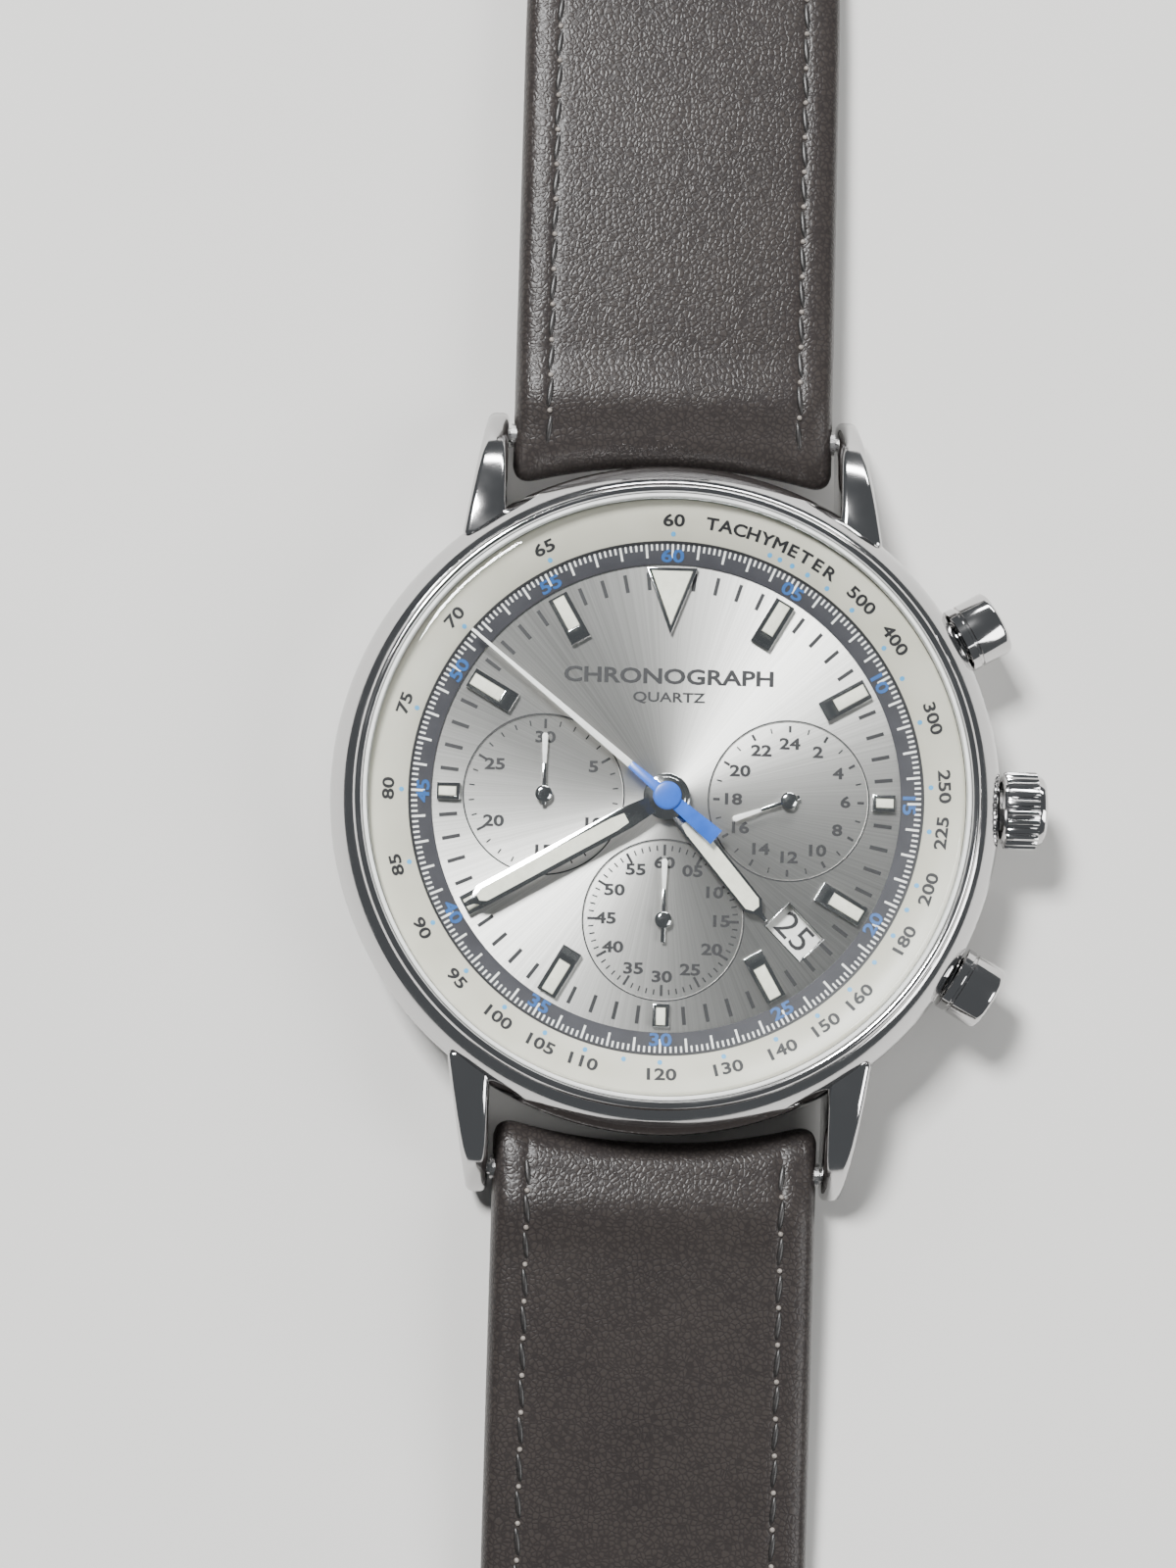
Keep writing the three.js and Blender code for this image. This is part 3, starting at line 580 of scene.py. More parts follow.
def turned(profile, steps=180):
    """Spins a section of (radius, height) points about +Z. One that ends off the axis closes."""
    points = [(r, 0, z) for r, z in profile]
    if profile[0][0] > 0:
        points.append(points[0])
    obj = draw_line(points)
    bpy.ops.mesh.spin(steps=steps, angle=TAU, center=(0, 0, 0), axis=(0, 0, 1))
    return tidy_mesh(obj)


def plate(outline, bottom, top):
    """A flat plate from an outline of (x, y) points."""
    obj = draw_face([(x, y, bottom) for x, y in outline])
    extrude((0, 0, top - bottom))
    return tidy_mesh(obj)


def block(centre, size):
    clear_selection()
    bpy.ops.mesh.primitive_cube_add(size=1, location=Vector(centre) * MM)
    obj = bpy.context.object
    obj.scale = Vector(size) * MM
    return apply_place(obj)


def turn_clockwise(obj, degrees, centre=(0, 0, 0)):
    """Turns a piece clockwise about a vertical axis, as a hand turns."""
    pivot = Matrix.Translation(Vector(centre) * MM)
    turn = Matrix.Rotation(-math.radians(degrees), 4, "Z")
    obj.matrix_world = pivot @ turn @ pivot.inverted() @ obj.matrix_world
    return apply_place(obj)


def move_to(obj, centre):
    obj.location = Vector((*centre, 0)) * MM
    return apply_place(obj)


def drill(obj, radius, bottom, top, centre=(0, 0), steps=24):
    """Bores an upright hole. The bit is turned a little, so its points miss the piece's edges."""
    bit = turned([(0, bottom), (radius, bottom), (radius, top), (0, top)], steps)
    cut(obj, move_to(turn_clockwise(bit, 3.3), centre))


def lay_along_x(obj, angle=0):
    """Tips a piece turned about +Z over to +X, at the height of the crown, and swings it."""
    tip = Matrix.Rotation(math.radians(90), 4, "Y")
    swing = Matrix.Rotation(math.radians(angle), 4, "Z")
    obj.matrix_world = Matrix.Translation((0, 0, SIDE_AXIS * MM)) @ swing @ tip @ obj.matrix_world
    return apply_place(obj)


def clock_place(radius, degrees, height, centre=(0, 0)):
    """A point on the dial at a radius and an angle clockwise from 12 o'clock."""
    a = math.radians(degrees)
    return Vector((centre[0] + radius * math.sin(a), centre[1] + radius * math.cos(a), height))


# %% [markdown]
# ## Case
# The band is one turned ring: a vertical polished side, a soft shoulder, and a slope that climbs
# to the bezel. Four lugs grow from it, each a curved horn that drops towards the wrist. They are
# pressed plates, bevelled and then joined to the band, as the real case is forged in one piece.

# %% Case band
MOVEMENT_BORE = 17.05
FLANGE_BORE = FLANGE_OUT + 0.12
DIAL_STEP = DIAL_TOP + 0.02
PUSHER_ANGLES = {"upper": 30, "lower": -30}
POCKET_R, CROWN_BORE_R = 2.28, 1.35
SHOULDER_LOW, SHOULDER_HIGH = (CASE_R - 0.08, 7.05), (19.62, 8.88)
SHOULDER_BULGE = 0.2


def bowed(start, end, bulge, steps=12):
    """Points from start to end, bowed outwards in the middle like the profile of a barrel."""
    along = Vector(end) - Vector(start)
    across = Vector((along.y, -along.x)).normalized() * bulge
    return [tuple(Vector(start) + along * t + across * 4 * t * (1 - t))
            for t in (i / steps for i in range(steps + 1))]


def case_band():
    foot = [(MOVEMENT_BORE, CASE_BOTTOM), (19.7, CASE_BOTTOM), (20.3, CASE_BOTTOM + 0.18),
            (20.75, CASE_BOTTOM + 0.6), (CASE_R - 0.06, CASE_BOTTOM + 1.2)]
    side = [(CASE_R, CASE_BOTTOM + 1.7), (CASE_R, 6.55), (CASE_R - 0.03, 6.85)]
    rim = [(19.48, 8.93), (FLANGE_BORE, 8.93), (FLANGE_BORE, DIAL_STEP), (MOVEMENT_BORE, DIAL_STEP)]
    return turned(foot + side + bowed(SHOULDER_LOW, SHOULDER_HIGH, SHOULDER_BULGE) + rim, 200)


# %% [markdown]
# A lug's side view is drawn with a few points and softened by the bevel. Its outer face leans in
# towards the tip, so the far points are moved inwards after it is extruded.

# %% Lugs
LUG_INNER = 10.5
LUG_ROOT, LUG_TIP = 13.2, 11.8
LUG_ROOT_Y, LUG_TIP_Y = 16.0, high_corner("case_middle").y


def lug_side():
    """The side view of a lug as (distance from the centre, height) points."""
    top = [(LUG_ROOT_Y, 7.95), (18.4, 7.75), (20.0, 7.35), (21.4, 6.7), (22.6, 5.85), (23.6, 4.8),
           (24.3, 3.7), (LUG_TIP_Y - 0.05, 2.7)]
    toe = [(LUG_TIP_Y, 2.2), (LUG_TIP_Y - 0.1, 1.65), (24.4, 1.25), (23.8, 1.1)]
    under = [(22.6, 1.2), (21.4, 1.6), (20.2, 1.85), (LUG_ROOT_Y, 1.9)]
    return top + toe + under


def lug():
    obj = draw_face([(LUG_INNER, y, z) for y, z in lug_side()])
    extrude((LUG_ROOT - LUG_INNER, 0, 0))
    leave_edit()
    for vertex in obj.data.vertices:
        if vertex.co.x > (LUG_INNER + 0.5) * MM:
            to_tip = (vertex.co.y / MM - LUG_ROOT_Y) / (LUG_TIP_Y - LUG_ROOT_Y)
            vertex.co.x -= (LUG_ROOT - LUG_TIP) * to_tip * MM
    tidy_mesh(obj)
    return soften(obj, 0.42, 4, 50)


def mirrored(obj, sign_x, sign_y):
    copy = obj.copy()
    copy.data = obj.data.copy()
    bpy.context.scene.collection.objects.link(copy)
    copy.scale = (sign_x, sign_y, 1)
    apply_place(copy)
    tidy_mesh(copy)
    return copy


def case_shell():
    band = case_band()
    pattern = lug()
    for sign_x, sign_y in ((1, 1), (-1, 1), (-1, -1), (1, -1)):
        combine(band, mirrored(pattern, sign_x, sign_y), "UNION")
    bpy.data.objects.remove(pattern)
    cut(band, turned([(0, 1), (MOVEMENT_BORE, 1), (MOVEMENT_BORE, DIAL_STEP),
                      (FLANGE_BORE, DIAL_STEP), (FLANGE_BORE, 12), (0, 12)], 200))
    for angle in PUSHER_ANGLES.values():
        pocket = turned([(0, 19.9), (POCKET_R, 19.9), (POCKET_R, 24), (0, 24)], 64)
        cut(band, lay_along_x(pocket, angle))
    crown_bore = turned([(0, 16), (CROWN_BORE_R, 16), (CROWN_BORE_R, 24), (0, 24)], 48)
    cut(band, lay_along_x(crown_bore))
    return band


finish(case_shell(), "case_shell", "case", "polished_steel", ["case_middle"], smooth_angle=32)

# %% [markdown]
# ## Bezel, crystal and gasket
# The bezel is a thin polished ring that holds the crystal. The crystal bulges gently, and its
# ground edge catches a bright line all the way round, which the eye reads as its thickness.

# %% Bezel
finish(turned([
    (18.86, BEZEL_BOTTOM), (BEZEL_R - 0.1, BEZEL_BOTTOM), (BEZEL_R, BEZEL_BOTTOM + 0.1),
    (BEZEL_R, BEZEL_BOTTOM + 0.5), (BEZEL_R - 0.04, BEZEL_TOP - 0.28),
    (BEZEL_R - 0.14, BEZEL_TOP - 0.1), (BEZEL_R - 0.27, BEZEL_TOP - 0.01), (19.05, BEZEL_TOP),
    (18.94, BEZEL_TOP - 0.04), (18.87, BEZEL_TOP - 0.14),
], 220), "bezel_ring", "case", "polished_steel", ["bezel"])

# %% Crystal and its gasket
def dome(radius_share, top, edge):
    """Height of a shallow dome at a share of its radius."""
    return top - (top - edge) * radius_share ** 2


def crystal_section():
    rim = CRYSTAL_R - 0.25
    shares = [i / 12 for i in range(12)] + [0.96, 0.985, 1]
    under = [(s * 17.4, dome(s, 9.95, 9.1)) for s in shares]
    edge = [(CRYSTAL_R - 0.08, CRYSTAL_BOTTOM + 0.02), (CRYSTAL_R, CRYSTAL_BOTTOM + 0.1),
            (CRYSTAL_R, 9.93), (CRYSTAL_R - 0.05, 10.05)]
    over = [(s * rim, dome(s, CRYSTAL_TOP, 10.16)) for s in reversed(shares)]
    return under + edge + over


finish(turned(crystal_section(), 160), "crystal_dome", "case", "crystal_glass", ["crystal"])
finish(turned([
    (18.57, 9.03), (18.82, 9.03), (18.82, 9.78), (18.75, 9.86), (18.62, 9.86), (18.57, 9.8),
], 180), "crystal_seal", "case", "gasket_nylon", ["crystal_gasket"])

# %% [markdown]
# ## Printed flange
# Round the dial runs a sloping flange in cream lacquer with the speed scale, and inside it a dark
# slate ring with a fifth-of-a-second scale. A scale in units per hour puts each value at
# 3600 / value seconds, so the figures crowd together on the right and spread out on the left.

# %% Flange rings
def flange_height(radius):
    """Height of the cream slope at a radius."""
    share = (radius - FLANGE_IN) / (18.3 - FLANGE_IN)
    return FLANGE_IN_TOP + share * (FLANGE_TOP - FLANGE_IN_TOP)


finish(turned([
    (FLANGE_IN, 7.46), (FLANGE_OUT, 7.46), (FLANGE_OUT, FLANGE_TOP - 0.06), (18.45, FLANGE_TOP),
    (18.3, FLANGE_TOP), (17.2, flange_height(17.2)), (FLANGE_IN + 0.05, FLANGE_IN_TOP + 0.02),
    (FLANGE_IN, FLANGE_IN_TOP - 0.03),
], 200), "tachymeter_flange", "case", "cream_flange", ["tachymeter_ring"])


def slate_height(radius):
    share = (radius - SECONDS_IN) / (SECONDS_OUT - SECONDS_IN)
    return 7.58 + share * (SECONDS_TOP - 7.58)


finish(turned([
    (SECONDS_IN, 7.46), (SECONDS_OUT, 7.46), (SECONDS_OUT, SECONDS_TOP), (SECONDS_IN + 0.04, 7.585),
    (SECONDS_IN, 7.56),
], 200), "slate_seconds_ring", "case", "grey_flange", ["seconds_ring"])

# %% [markdown]
# Print is ink a few hundredths of a millimetre thick. A figure starts as text, is widened to the
# broad lettering of the dial, becomes a mesh, and is only then laid in its place. Figures in the
# lower half are turned over so that they can be read.

# %% Printing figures
def figure(text, size, place, degrees=0.0, widen=1.25, weight=0.0):
    """Text centred on a place (mm) and turned clockwise. size is the height of a capital."""
    clear_selection()
    bpy.ops.object.text_add()
    obj = bpy.context.object
    obj.data.body = text
    obj.data.size = size / 0.72 * MM
    obj.data.align_x = "CENTER"
    obj.data.align_y = "CENTER"
    obj.data.offset = weight * MM
    obj.data.extrude = PRINT_HEIGHT * MM
    obj.data.resolution_u = 3
    only(obj)
    bpy.ops.object.convert(target="MESH")
    obj = bpy.context.object
    tidy_mesh(obj)
    obj.scale = (widen, 1, 1)
    obj.rotation_euler.z = -math.radians(degrees)
    obj.location = Vector(place) * MM
    return apply_place(obj)


def readable(degrees):
    """The turn that keeps a figure readable at this clock angle."""
    return degrees + 180 if 90 < degrees % 360 < 270 else degrees


def figures_round(radius, height, size, labels, centre=(0, 0), turn=readable, **style):
    """Figures at clock angles round a circle, from {angle: text}. turn gives each one's turn."""
    return [figure(text, size, clock_place(radius, angle, height, centre), turn(angle), **style)
            for angle, text in labels.items()]


def tick(radius, length, width, height):
    """One printed tick on the 12 o'clock line, centred on a radius."""
    return block((0, radius, height), (width, length, 2 * PRINT_HEIGHT))


def lay_on(obj, height_at):
    """Lets print that was made at height zero down on a slope that rises with the radius."""
    for vertex in obj.data.vertices:
        vertex.co.z += height_at(vertex.co.xy.length / MM) * MM
    return obj


def ring_of_ticks(obj, count):
    """Copies a tick round the dial's axis, count in all."""
    edit(obj)
    bpy.ops.mesh.spin(steps=count - 1, dupli=True, angle=TAU * (count - 1) / count,
                      center=(0, 0, 0), axis=(0, 0, 1))
    leave_edit()
    return obj


# %% Speed scale
TACHY_VALUES = (*range(60, 111, 5), *range(120, 161, 10), 180, 200, 225, 250, 300, 400, 500)
TACHY_DOTS = (115, 170, 190, 350, 600, 700, 800, 900, 1000)
TACHY_FIGURE_R, TACHY_SIZE = 17.25, 0.72
TACHY_DOT_R = 16.48


def tachy_angle(value):
    return 360 * 60 / value % 360


def tachy_turn(degrees):
    """Figures past 3 o'clock are turned over until the 9 o'clock side."""
    return degrees + 180 if 95 < degrees % 360 < 252 else degrees


def word_along(word, start, end, radius, height, size):
    """A word whose letters stand along an arc between two clock angles."""
    gap = (end - start) / (len(word) - 1)
    letters = {start + i * gap: letter for i, letter in enumerate(word)}
    return figures_round(radius, height, size, letters, turn=lambda angle: angle, weight=0.03)


def tachymeter_print():
    labels = {tachy_angle(value): str(value) for value in TACHY_VALUES}
    parts = figures_round(TACHY_FIGURE_R, LIFT, TACHY_SIZE, labels, turn=tachy_turn, weight=0.026,
                          widen=1.4)
    parts += word_along("TACHYMETER", 8, 34.5, TACHY_FIGURE_R, LIFT, TACHY_SIZE)
    return lay_on(join("tachymeter_print", parts), flange_height)


def tachymeter_dots():
    dots = []
    for value in TACHY_VALUES + TACHY_DOTS:
        clear_selection()
        place = clock_place(TACHY_DOT_R, tachy_angle(value), 0)
        bpy.ops.mesh.primitive_cylinder_add(vertices=16, radius=0.15 * MM,
                                            depth=2 * PRINT_HEIGHT * MM, location=place * MM)
        dots.append(bpy.context.object)
    return lay_on(apply_place(join("tachymeter_dots", dots)), flange_height)


finish(tachymeter_print(), "tachymeter_print", "case", "cream_flange", finish_name="black_ink")
finish(tachymeter_dots(), "tachymeter_dots", "case", "cream_flange", finish_name="pale_blue_ink")
# A thin black ring at the foot of the cream flange's inner edge is a painted shadow of that edge on
# the slate ring.
finish(turned([
    (15.93, SECONDS_TOP - 0.02), (16.07, SECONDS_TOP - 0.02), (16.07, 7.95), (15.93, 7.9),
], 180), "flange_edge_painted_shadow", "case", "grey_flange", finish_name="black_ink")

# %% Fifth-of-a-second scale
def seconds_ticks():
    short = ring_of_ticks(tick(15.70, 0.38, 0.12, LIFT), 300)
    long = ring_of_ticks(tick(15.47, 0.84, 0.14, 0.008), 60)
    return lay_on(join("seconds_scale", [short, long]), slate_height)


SECONDS_LABELS = {angle: f"{angle // 6 or 60:02d}" for angle in range(0, 360, 30)}
finish(seconds_ticks(), "seconds_scale", "case", "grey_flange", finish_name="white_print")
seconds_figures = join("seconds_figures", figures_round(
    15.12, 0.014, 0.78, SECONDS_LABELS, widen=1.35, weight=0.03))
finish(lay_on(seconds_figures, slate_height), "seconds_figures", "case", "grey_flange",
       finish_name="blue_ink")

# %% [markdown]
# ## Dial
# A disc with a hole for the hands, a window for the date, and three sub-dials pressed a few
# hundredths below its face. The sub-dials are cut with shallow discs, and each keeps its own thin
# dark rim.

# %% Dial plate
SUBDIALS = {"counter": (-SUBDIAL_OFFSET, 0), "day_night": (SUBDIAL_OFFSET, 0),
            "seconds": (0, -SUBDIAL_OFFSET)}
SUB_FACE = DIAL_TOP - 0.08
SMALL_BORE_R, CENTRE_BORE_R = 0.42, 1.15
DATE_R, DATE_ANGLE = 11.6, 135
DATE_SIZE = (3.0, 2.0)


def date_box(bottom, top, grow=0.0):
    """A box over the date window, its length along the dial's radius."""
    length, width = DATE_SIZE
    obj = block((0, DATE_R, (bottom + top) / 2), (width + grow, length + grow, top - bottom))
    return turn_clockwise(obj, DATE_ANGLE)


def dial_plate():
    dial = turned([(0, DIAL_BOTTOM), (DIAL_R, DIAL_BOTTOM), (DIAL_R, DIAL_TOP), (0, DIAL_TOP)])
    for centre in SUBDIALS.values():
        slope = 0.05
        section = [(0, SUB_FACE), (SUBDIAL_R - slope, SUB_FACE), (SUBDIAL_R + slope, 8), (0, 8)]
        cut(dial, move_to(turn_clockwise(turned(section, 96), 1.1), centre))
        drill(dial, SMALL_BORE_R, 6, 8, centre)
    drill(dial, CENTRE_BORE_R, 6, 8, steps=48)
    cut(dial, date_box(6, 8))
    return dial


finish(dial_plate(), "dial_plate", "case", "silver_dial", ["dial"], smooth_angle=20)

# %% Sub-dial rims and the date frame
def thin_circle(radius, centre, height, width=0.09):
    obj = turned([(radius - width / 2, height - 0.02), (radius + width / 2, height - 0.02),
                  (radius + width / 2, height + 0.012), (radius - width / 2, height + 0.012)], 96)
    return move_to(obj, centre)


rims = [thin_circle(SUBDIAL_R + 0.02, centre, DIAL_TOP) for centre in SUBDIALS.values()]
finish(join("subdial_rims", rims), "subdial_rims", "case", "silver_dial", finish_name="black_ink")

date_frame = date_box(DIAL_TOP - 0.02, DIAL_TOP + 0.03, 0.16)
cut(date_frame, date_box(6, 8, 0.02))
soften(date_frame, 0.02, 2)
finish(date_frame, "date_window_frame", "case", "polished_steel")

# %% [markdown]
# ### Dial print
# Black minute ticks stand at every minute that has no applied marker. Each sub-dial has its own
# scale: 30 minutes on the left, 24 hours on the right and 60 seconds below, with upright figures.

# %% Minute ticks
MINUTE_TICK_R = 13.63


def minute_ticks():
    """Twelve ticks round the dial, four times over, for the four minutes after each hour."""
    ticks = [tick(MINUTE_TICK_R, 1.13, 0.23, DIAL_TOP + 0.003) for minute in range(4)]
    for minute, obj in enumerate(ticks, 1):
        ring_of_ticks(turn_clockwise(obj, minute * 6), 12)
    return join("minute_ticks", ticks)


finish(minute_ticks(), "minute_ticks", "case", "silver_dial", finish_name="black_ink")

# %% Sub-dial scales
def subdial_scale(centre, figures, fine, coarse, long_tick):
    """Ticks and upright figures of one sub-dial. fine and coarse are counts of ticks."""
    short = ring_of_ticks(tick(4.5, 0.34, 0.09, SUB_FACE + LIFT), fine)
    long = ring_of_ticks(tick(4.72 - long_tick / 2, long_tick, 0.16, SUB_FACE + 0.008), coarse)
    ticks = [move_to(obj, centre) for obj in (short, long)]
    return ticks + figures_round(3.55, SUB_FACE + LIFT, 0.7, figures, centre,
                                 turn=lambda angle: 0, weight=0.03, widen=1.35)


counter_figures = {i * 60: str(i * 5 or 30) for i in range(6)}
day_night_figures = {i * 30: str(i * 2 or 24) for i in range(12)}
small_seconds_figures = {i * 30: f"{i * 5 or 60:02d}" for i in range(12)}
subdial_print = (
    subdial_scale(SUBDIALS["counter"], counter_figures, 30, 6, 0.6)
    + subdial_scale(SUBDIALS["day_night"], day_night_figures, 24, 12, 0.42)
    + subdial_scale(SUBDIALS["seconds"], small_seconds_figures, 60, 12, 0.7)
)
finish(join("subdial_print", subdial_print), "subdial_print", "case", "silver_dial",
       finish_name="black_ink")
finish(join("dial_words", [
    figure("CHRONOGRAPH", 0.95, (0, 7.55, DIAL_TOP + LIFT), widen=1.3, weight=0.035),
    figure("QUARTZ", 0.62, (0, 6.25, DIAL_TOP + LIFT), widen=1.3, weight=0.015),
]), "dial_words", "case", "silver_dial", finish_name="black_ink")

# %% [markdown]
# ## Applied markers
# Each hour marker is a faceted metal block, polished all over, with a channel of cream luminous
# paint. The block is a cube. Its top face is inset, the inner end of the inset is pulled outwards
# to leave a solid polished end, and the inset is pushed down to make the channel.

# %% Hour markers
MARKER_TOP = high_corner("hour_marker_1").z
MARKER_BOTTOM = DIAL_TOP
OUTER_RIM = 0.12
CHANNEL_DEPTH = 0.16


def channelled_block(inner, outer, width, rim, inner_end):
    """A baton marker on the 12 o'clock line with a channel for the paint."""
    obj = block((0, (inner + outer) / 2, (MARKER_BOTTOM + MARKER_TOP) / 2),
                (width, outer - inner, MARKER_TOP - MARKER_BOTTOM))
    edit(obj)
    select_faces(obj, lambda centre, normal: normal.z > 0.9)
    bpy.ops.mesh.inset(thickness=rim * MM)
    middle = (inner + outer) / 2
    for half, shift in ((-1, inner_end - rim), (1, rim - OUTER_RIM)):
        select_points(obj, lambda p: p.z > MARKER_TOP - 0.01 and abs(p.x) < (width - rim) / 2
                      and (p.y - middle) * half > 0)
        bpy.ops.transform.translate(value=(0, shift * MM, 0))
    start, end = inner + inner_end, outer - OUTER_RIM
    select_faces(obj, lambda c, n: n.z > 0.9 and abs(c.x) < 0.01 and start < c.y < end)
    extrude((0, 0, -CHANNEL_DEPTH))
    tidy_mesh(obj)
    return soften(obj, 0.045, 2, 50)


def triangle_outline(inner, outer, width):
    return [(0, inner), (width / 2, outer), (-width / 2, outer)]


def triangle_marker():
    obj = plate(triangle_outline(10.2, 14.4, 3.2), MARKER_BOTTOM, MARKER_TOP)
    edit(obj)
    select_faces(obj, lambda centre, normal: normal.z > 0.9)
    bpy.ops.mesh.inset(thickness=0.2 * MM)
    extrude((0, 0, -0.14))
    tidy_mesh(obj)
    return soften(obj, 0.04, 2, 50)


LONG, SHORT = (11.15, 14.3, 1.32), (12.85, 14.3, 1.05)
for hour in range(1, 13):
    if hour == 12:
        marker = triangle_marker()
    elif hour % 3:
        marker = channelled_block(*LONG, 0.27, 0.9)
    else:
        marker = channelled_block(*SHORT, 0.24, 0.24)
    turn_clockwise(marker, hour * 30)
    finish(marker, f"marker_{hour}", "case", "polished_steel", [f"hour_marker_{hour}"],
           smooth_angle=25)

# %% Lume in the markers
LUME_TOP = MARKER_TOP - 0.02


def lume_bar(inner, outer, width, rim, inner_end):
    bottom = MARKER_BOTTOM + 0.1
    start, end = inner + inner_end, outer - OUTER_RIM
    bar = block((0, (start + end) / 2, (bottom + LUME_TOP) / 2),
                (width - 2 * rim - 0.02, end - start - 0.02, LUME_TOP - bottom))
    return soften(bar, 0.05, 3, 50)


lume_parts = [plate(triangle_outline(10.85, 14.2, 2.55), MARKER_BOTTOM + 0.1, LUME_TOP)]
for hour in range(1, 12):
    bar = lume_bar(*LONG, 0.27, 0.9) if hour % 3 else lume_bar(*SHORT, 0.24, 0.24)
    lume_parts.append(turn_clockwise(bar, hour * 30))
finish(join("marker_lume", lume_parts), "marker_lume", "case", "polished_steel", finish_name="lume")

# %% [markdown]
# ## Hands
# Hour and minute hands are pressed batons with a bright rim and a broad strip of lume, narrower
# where they meet the hub. Each is drawn pointing at 12, and turned to its place at the end. The
# turns are those at which the frame's own hands rest.

# %% Hand outlines
def baton(length, width, root):
    half = width / 2
    return [(-root / 2, 0), (root / 2, 0), (half, length * 0.2), (half, length - 1.25),
            (half * 0.3, length - 0.6), (half * 0.16, length), (-half * 0.16, length),
            (-half * 0.3, length - 0.6), (-half, length - 1.25), (-half, length * 0.2)]


def lume_strip(length, width, rim):
    half = width / 2 - rim
    return [(-half * 0.75, length * 0.2), (half * 0.75, length * 0.2), (half, length * 0.26),
            (half, length - 1.4), (half * 0.45, length - 1.0), (-half * 0.45, length - 1.0),
            (-half, length - 1.4), (-half, length * 0.26)]


def hub(radius, tube_radius, bore, tube_bottom, plate_bottom, plate_top):
    return turned([
        (bore, tube_bottom), (tube_radius, tube_bottom), (tube_radius, plate_bottom),
        (radius, plate_bottom), (radius, plate_top - 0.04), (radius - 0.06, plate_top),
        (bore, plate_top),
    ], 64)


def baton_hand(length, width, root, bottom, top, hub_radius, tube_radius, bore, tube_bottom):
    blade = plate(baton(length, width, root), bottom, top)
    eye = hub_radius - 0.2
    cut(blade, turned([(0, bottom - 1), (eye, bottom - 1), (eye, top + 1), (0, top + 1)], 48))
    soften(blade, 0.05, 2, 50)
    boss = hub(hub_radius, tube_radius, bore, tube_bottom, bottom, top + 0.02)
    return join("blade", [blade, boss])


# %% Hour and minute hands
HOUR_ANGLE, MINUTE_ANGLE, SWEEP_ANGLE, DAY_NIGHT_ANGLE = 140, 240, 309, 250
HOUR_SIZES = {"length": 9.9, "width": 1.35, "root": 0.85, "bottom": 8.1, "top": 8.28,
              "hub_radius": 1.45, "tube_radius": 1.05, "bore": 0.8, "tube_bottom": 5.92}
MINUTE_SIZES = {"length": 14.3, "width": 1.4, "root": 0.85, "bottom": 8.5, "top": 8.66,
                "hub_radius": 1.2, "tube_radius": 0.7, "bore": 0.45, "tube_bottom": 5.22}
for name, angle, sizes, rim, lume_bottom in (
        ("hour", HOUR_ANGLE, HOUR_SIZES, 0.16, 8.2),
        ("minute", MINUTE_ANGLE, MINUTE_SIZES, 0.27, 8.58)):
    body = f"{name}_hand"
    hand = turn_clockwise(baton_hand(**sizes), angle)
    finish(hand, f"{name}_baton", body, "polished_steel", [body])
    strip = plate(lume_strip(sizes["length"], sizes["width"], rim), lume_bottom, lume_bottom + 0.1)
    finish(turn_clockwise(strip, angle), f"{name}_lume", body, "polished_steel", finish_name="lume")

# %% [markdown]
# The chronograph's seconds hand is a long needle. Its tail, its hub and the first few millimetres
# are dipped in blue enamel, and the rest is painted white.

# %% Chronograph seconds hand
SWEEP_BOTTOM, SWEEP_TOP = 8.9, 9.05
SWEEP_TAIL, SWEEP_WAIST, SWEEP_TIP = -4.0, 3.0, 15.95


def sweep_half_width(y):
    """Half the needle's width at a distance y from the hub, from tail to waist to tip."""
    if y < SWEEP_WAIST:
        return 0.55 - 0.31 * (y - SWEEP_TAIL) / (SWEEP_WAIST - SWEEP_TAIL)
    return 0.24 - 0.15 * (y - SWEEP_WAIST) / (SWEEP_TIP - SWEEP_WAIST)


def needle(start, end):
    w0, w1 = sweep_half_width(start), sweep_half_width(end)
    outline = [(-w0, start), (w0, start), (w1, end), (-w1, end)]
    return soften(plate(outline, SWEEP_BOTTOM, SWEEP_TOP), 0.03, 2, 50)


boss = turned([(0, 4.62), (0.35, 4.62), (0.35, 8.88), (0.86, 8.88), (0.88, 9.18), (0.8, 9.27),
               (0.6, 9.31), (0, 9.32)], 64)
for name, obj, ink in (
        ("sweep_blue", join("needle", [needle(SWEEP_TAIL, SWEEP_WAIST), boss]), None),
        ("sweep_white", needle(SWEEP_WAIST, SWEEP_TIP), "white_print")):
    finish(turn_clockwise(obj, SWEEP_ANGLE), name, "chronograph_seconds_hand", "blue_paint",
           [] if ink else ["chronograph_seconds_hand"], finish_name=ink)

# %% [markdown]
# The three small hands are slim leaves, polished at the hub with white outer halves.

# %% Small hands
SMALL_BOTTOM, SMALL_TOP = 7.66, 7.8


def small_hand(prefix, body, centre, length, tail, angle):
    root = plate([(-0.14, -tail), (0.14, -tail), (0.1, length / 2), (-0.1, length / 2)],
                 SMALL_BOTTOM, SMALL_TOP)
    soften(root, 0.03, 2, 50)
    boss = turned([(0, 4.92), (0.3, 4.92), (0.3, 7.64), (0.5, 7.64), (0.53, 7.72), (0.53, 7.84),
                   (0.46, 7.9), (0.3, 7.94), (0, 7.95)], 48)
    polished = join(prefix, [root, boss])
    white = plate([(-0.11, length / 2), (0.11, length / 2), (0.19, length - 0.15), (0.1, length),
                   (-0.1, length), (-0.19, length - 0.15)], SMALL_BOTTOM, SMALL_TOP)
    soften(white, 0.03, 2, 50)
    for obj in (polished, white):
        turn_clockwise(move_to(obj, centre), angle, (*centre, 0))
    finish(polished, f"{prefix}_leaf", body, "polished_steel", [body])
    finish(white, f"{prefix}_white", body, "polished_steel", finish_name="white_print")


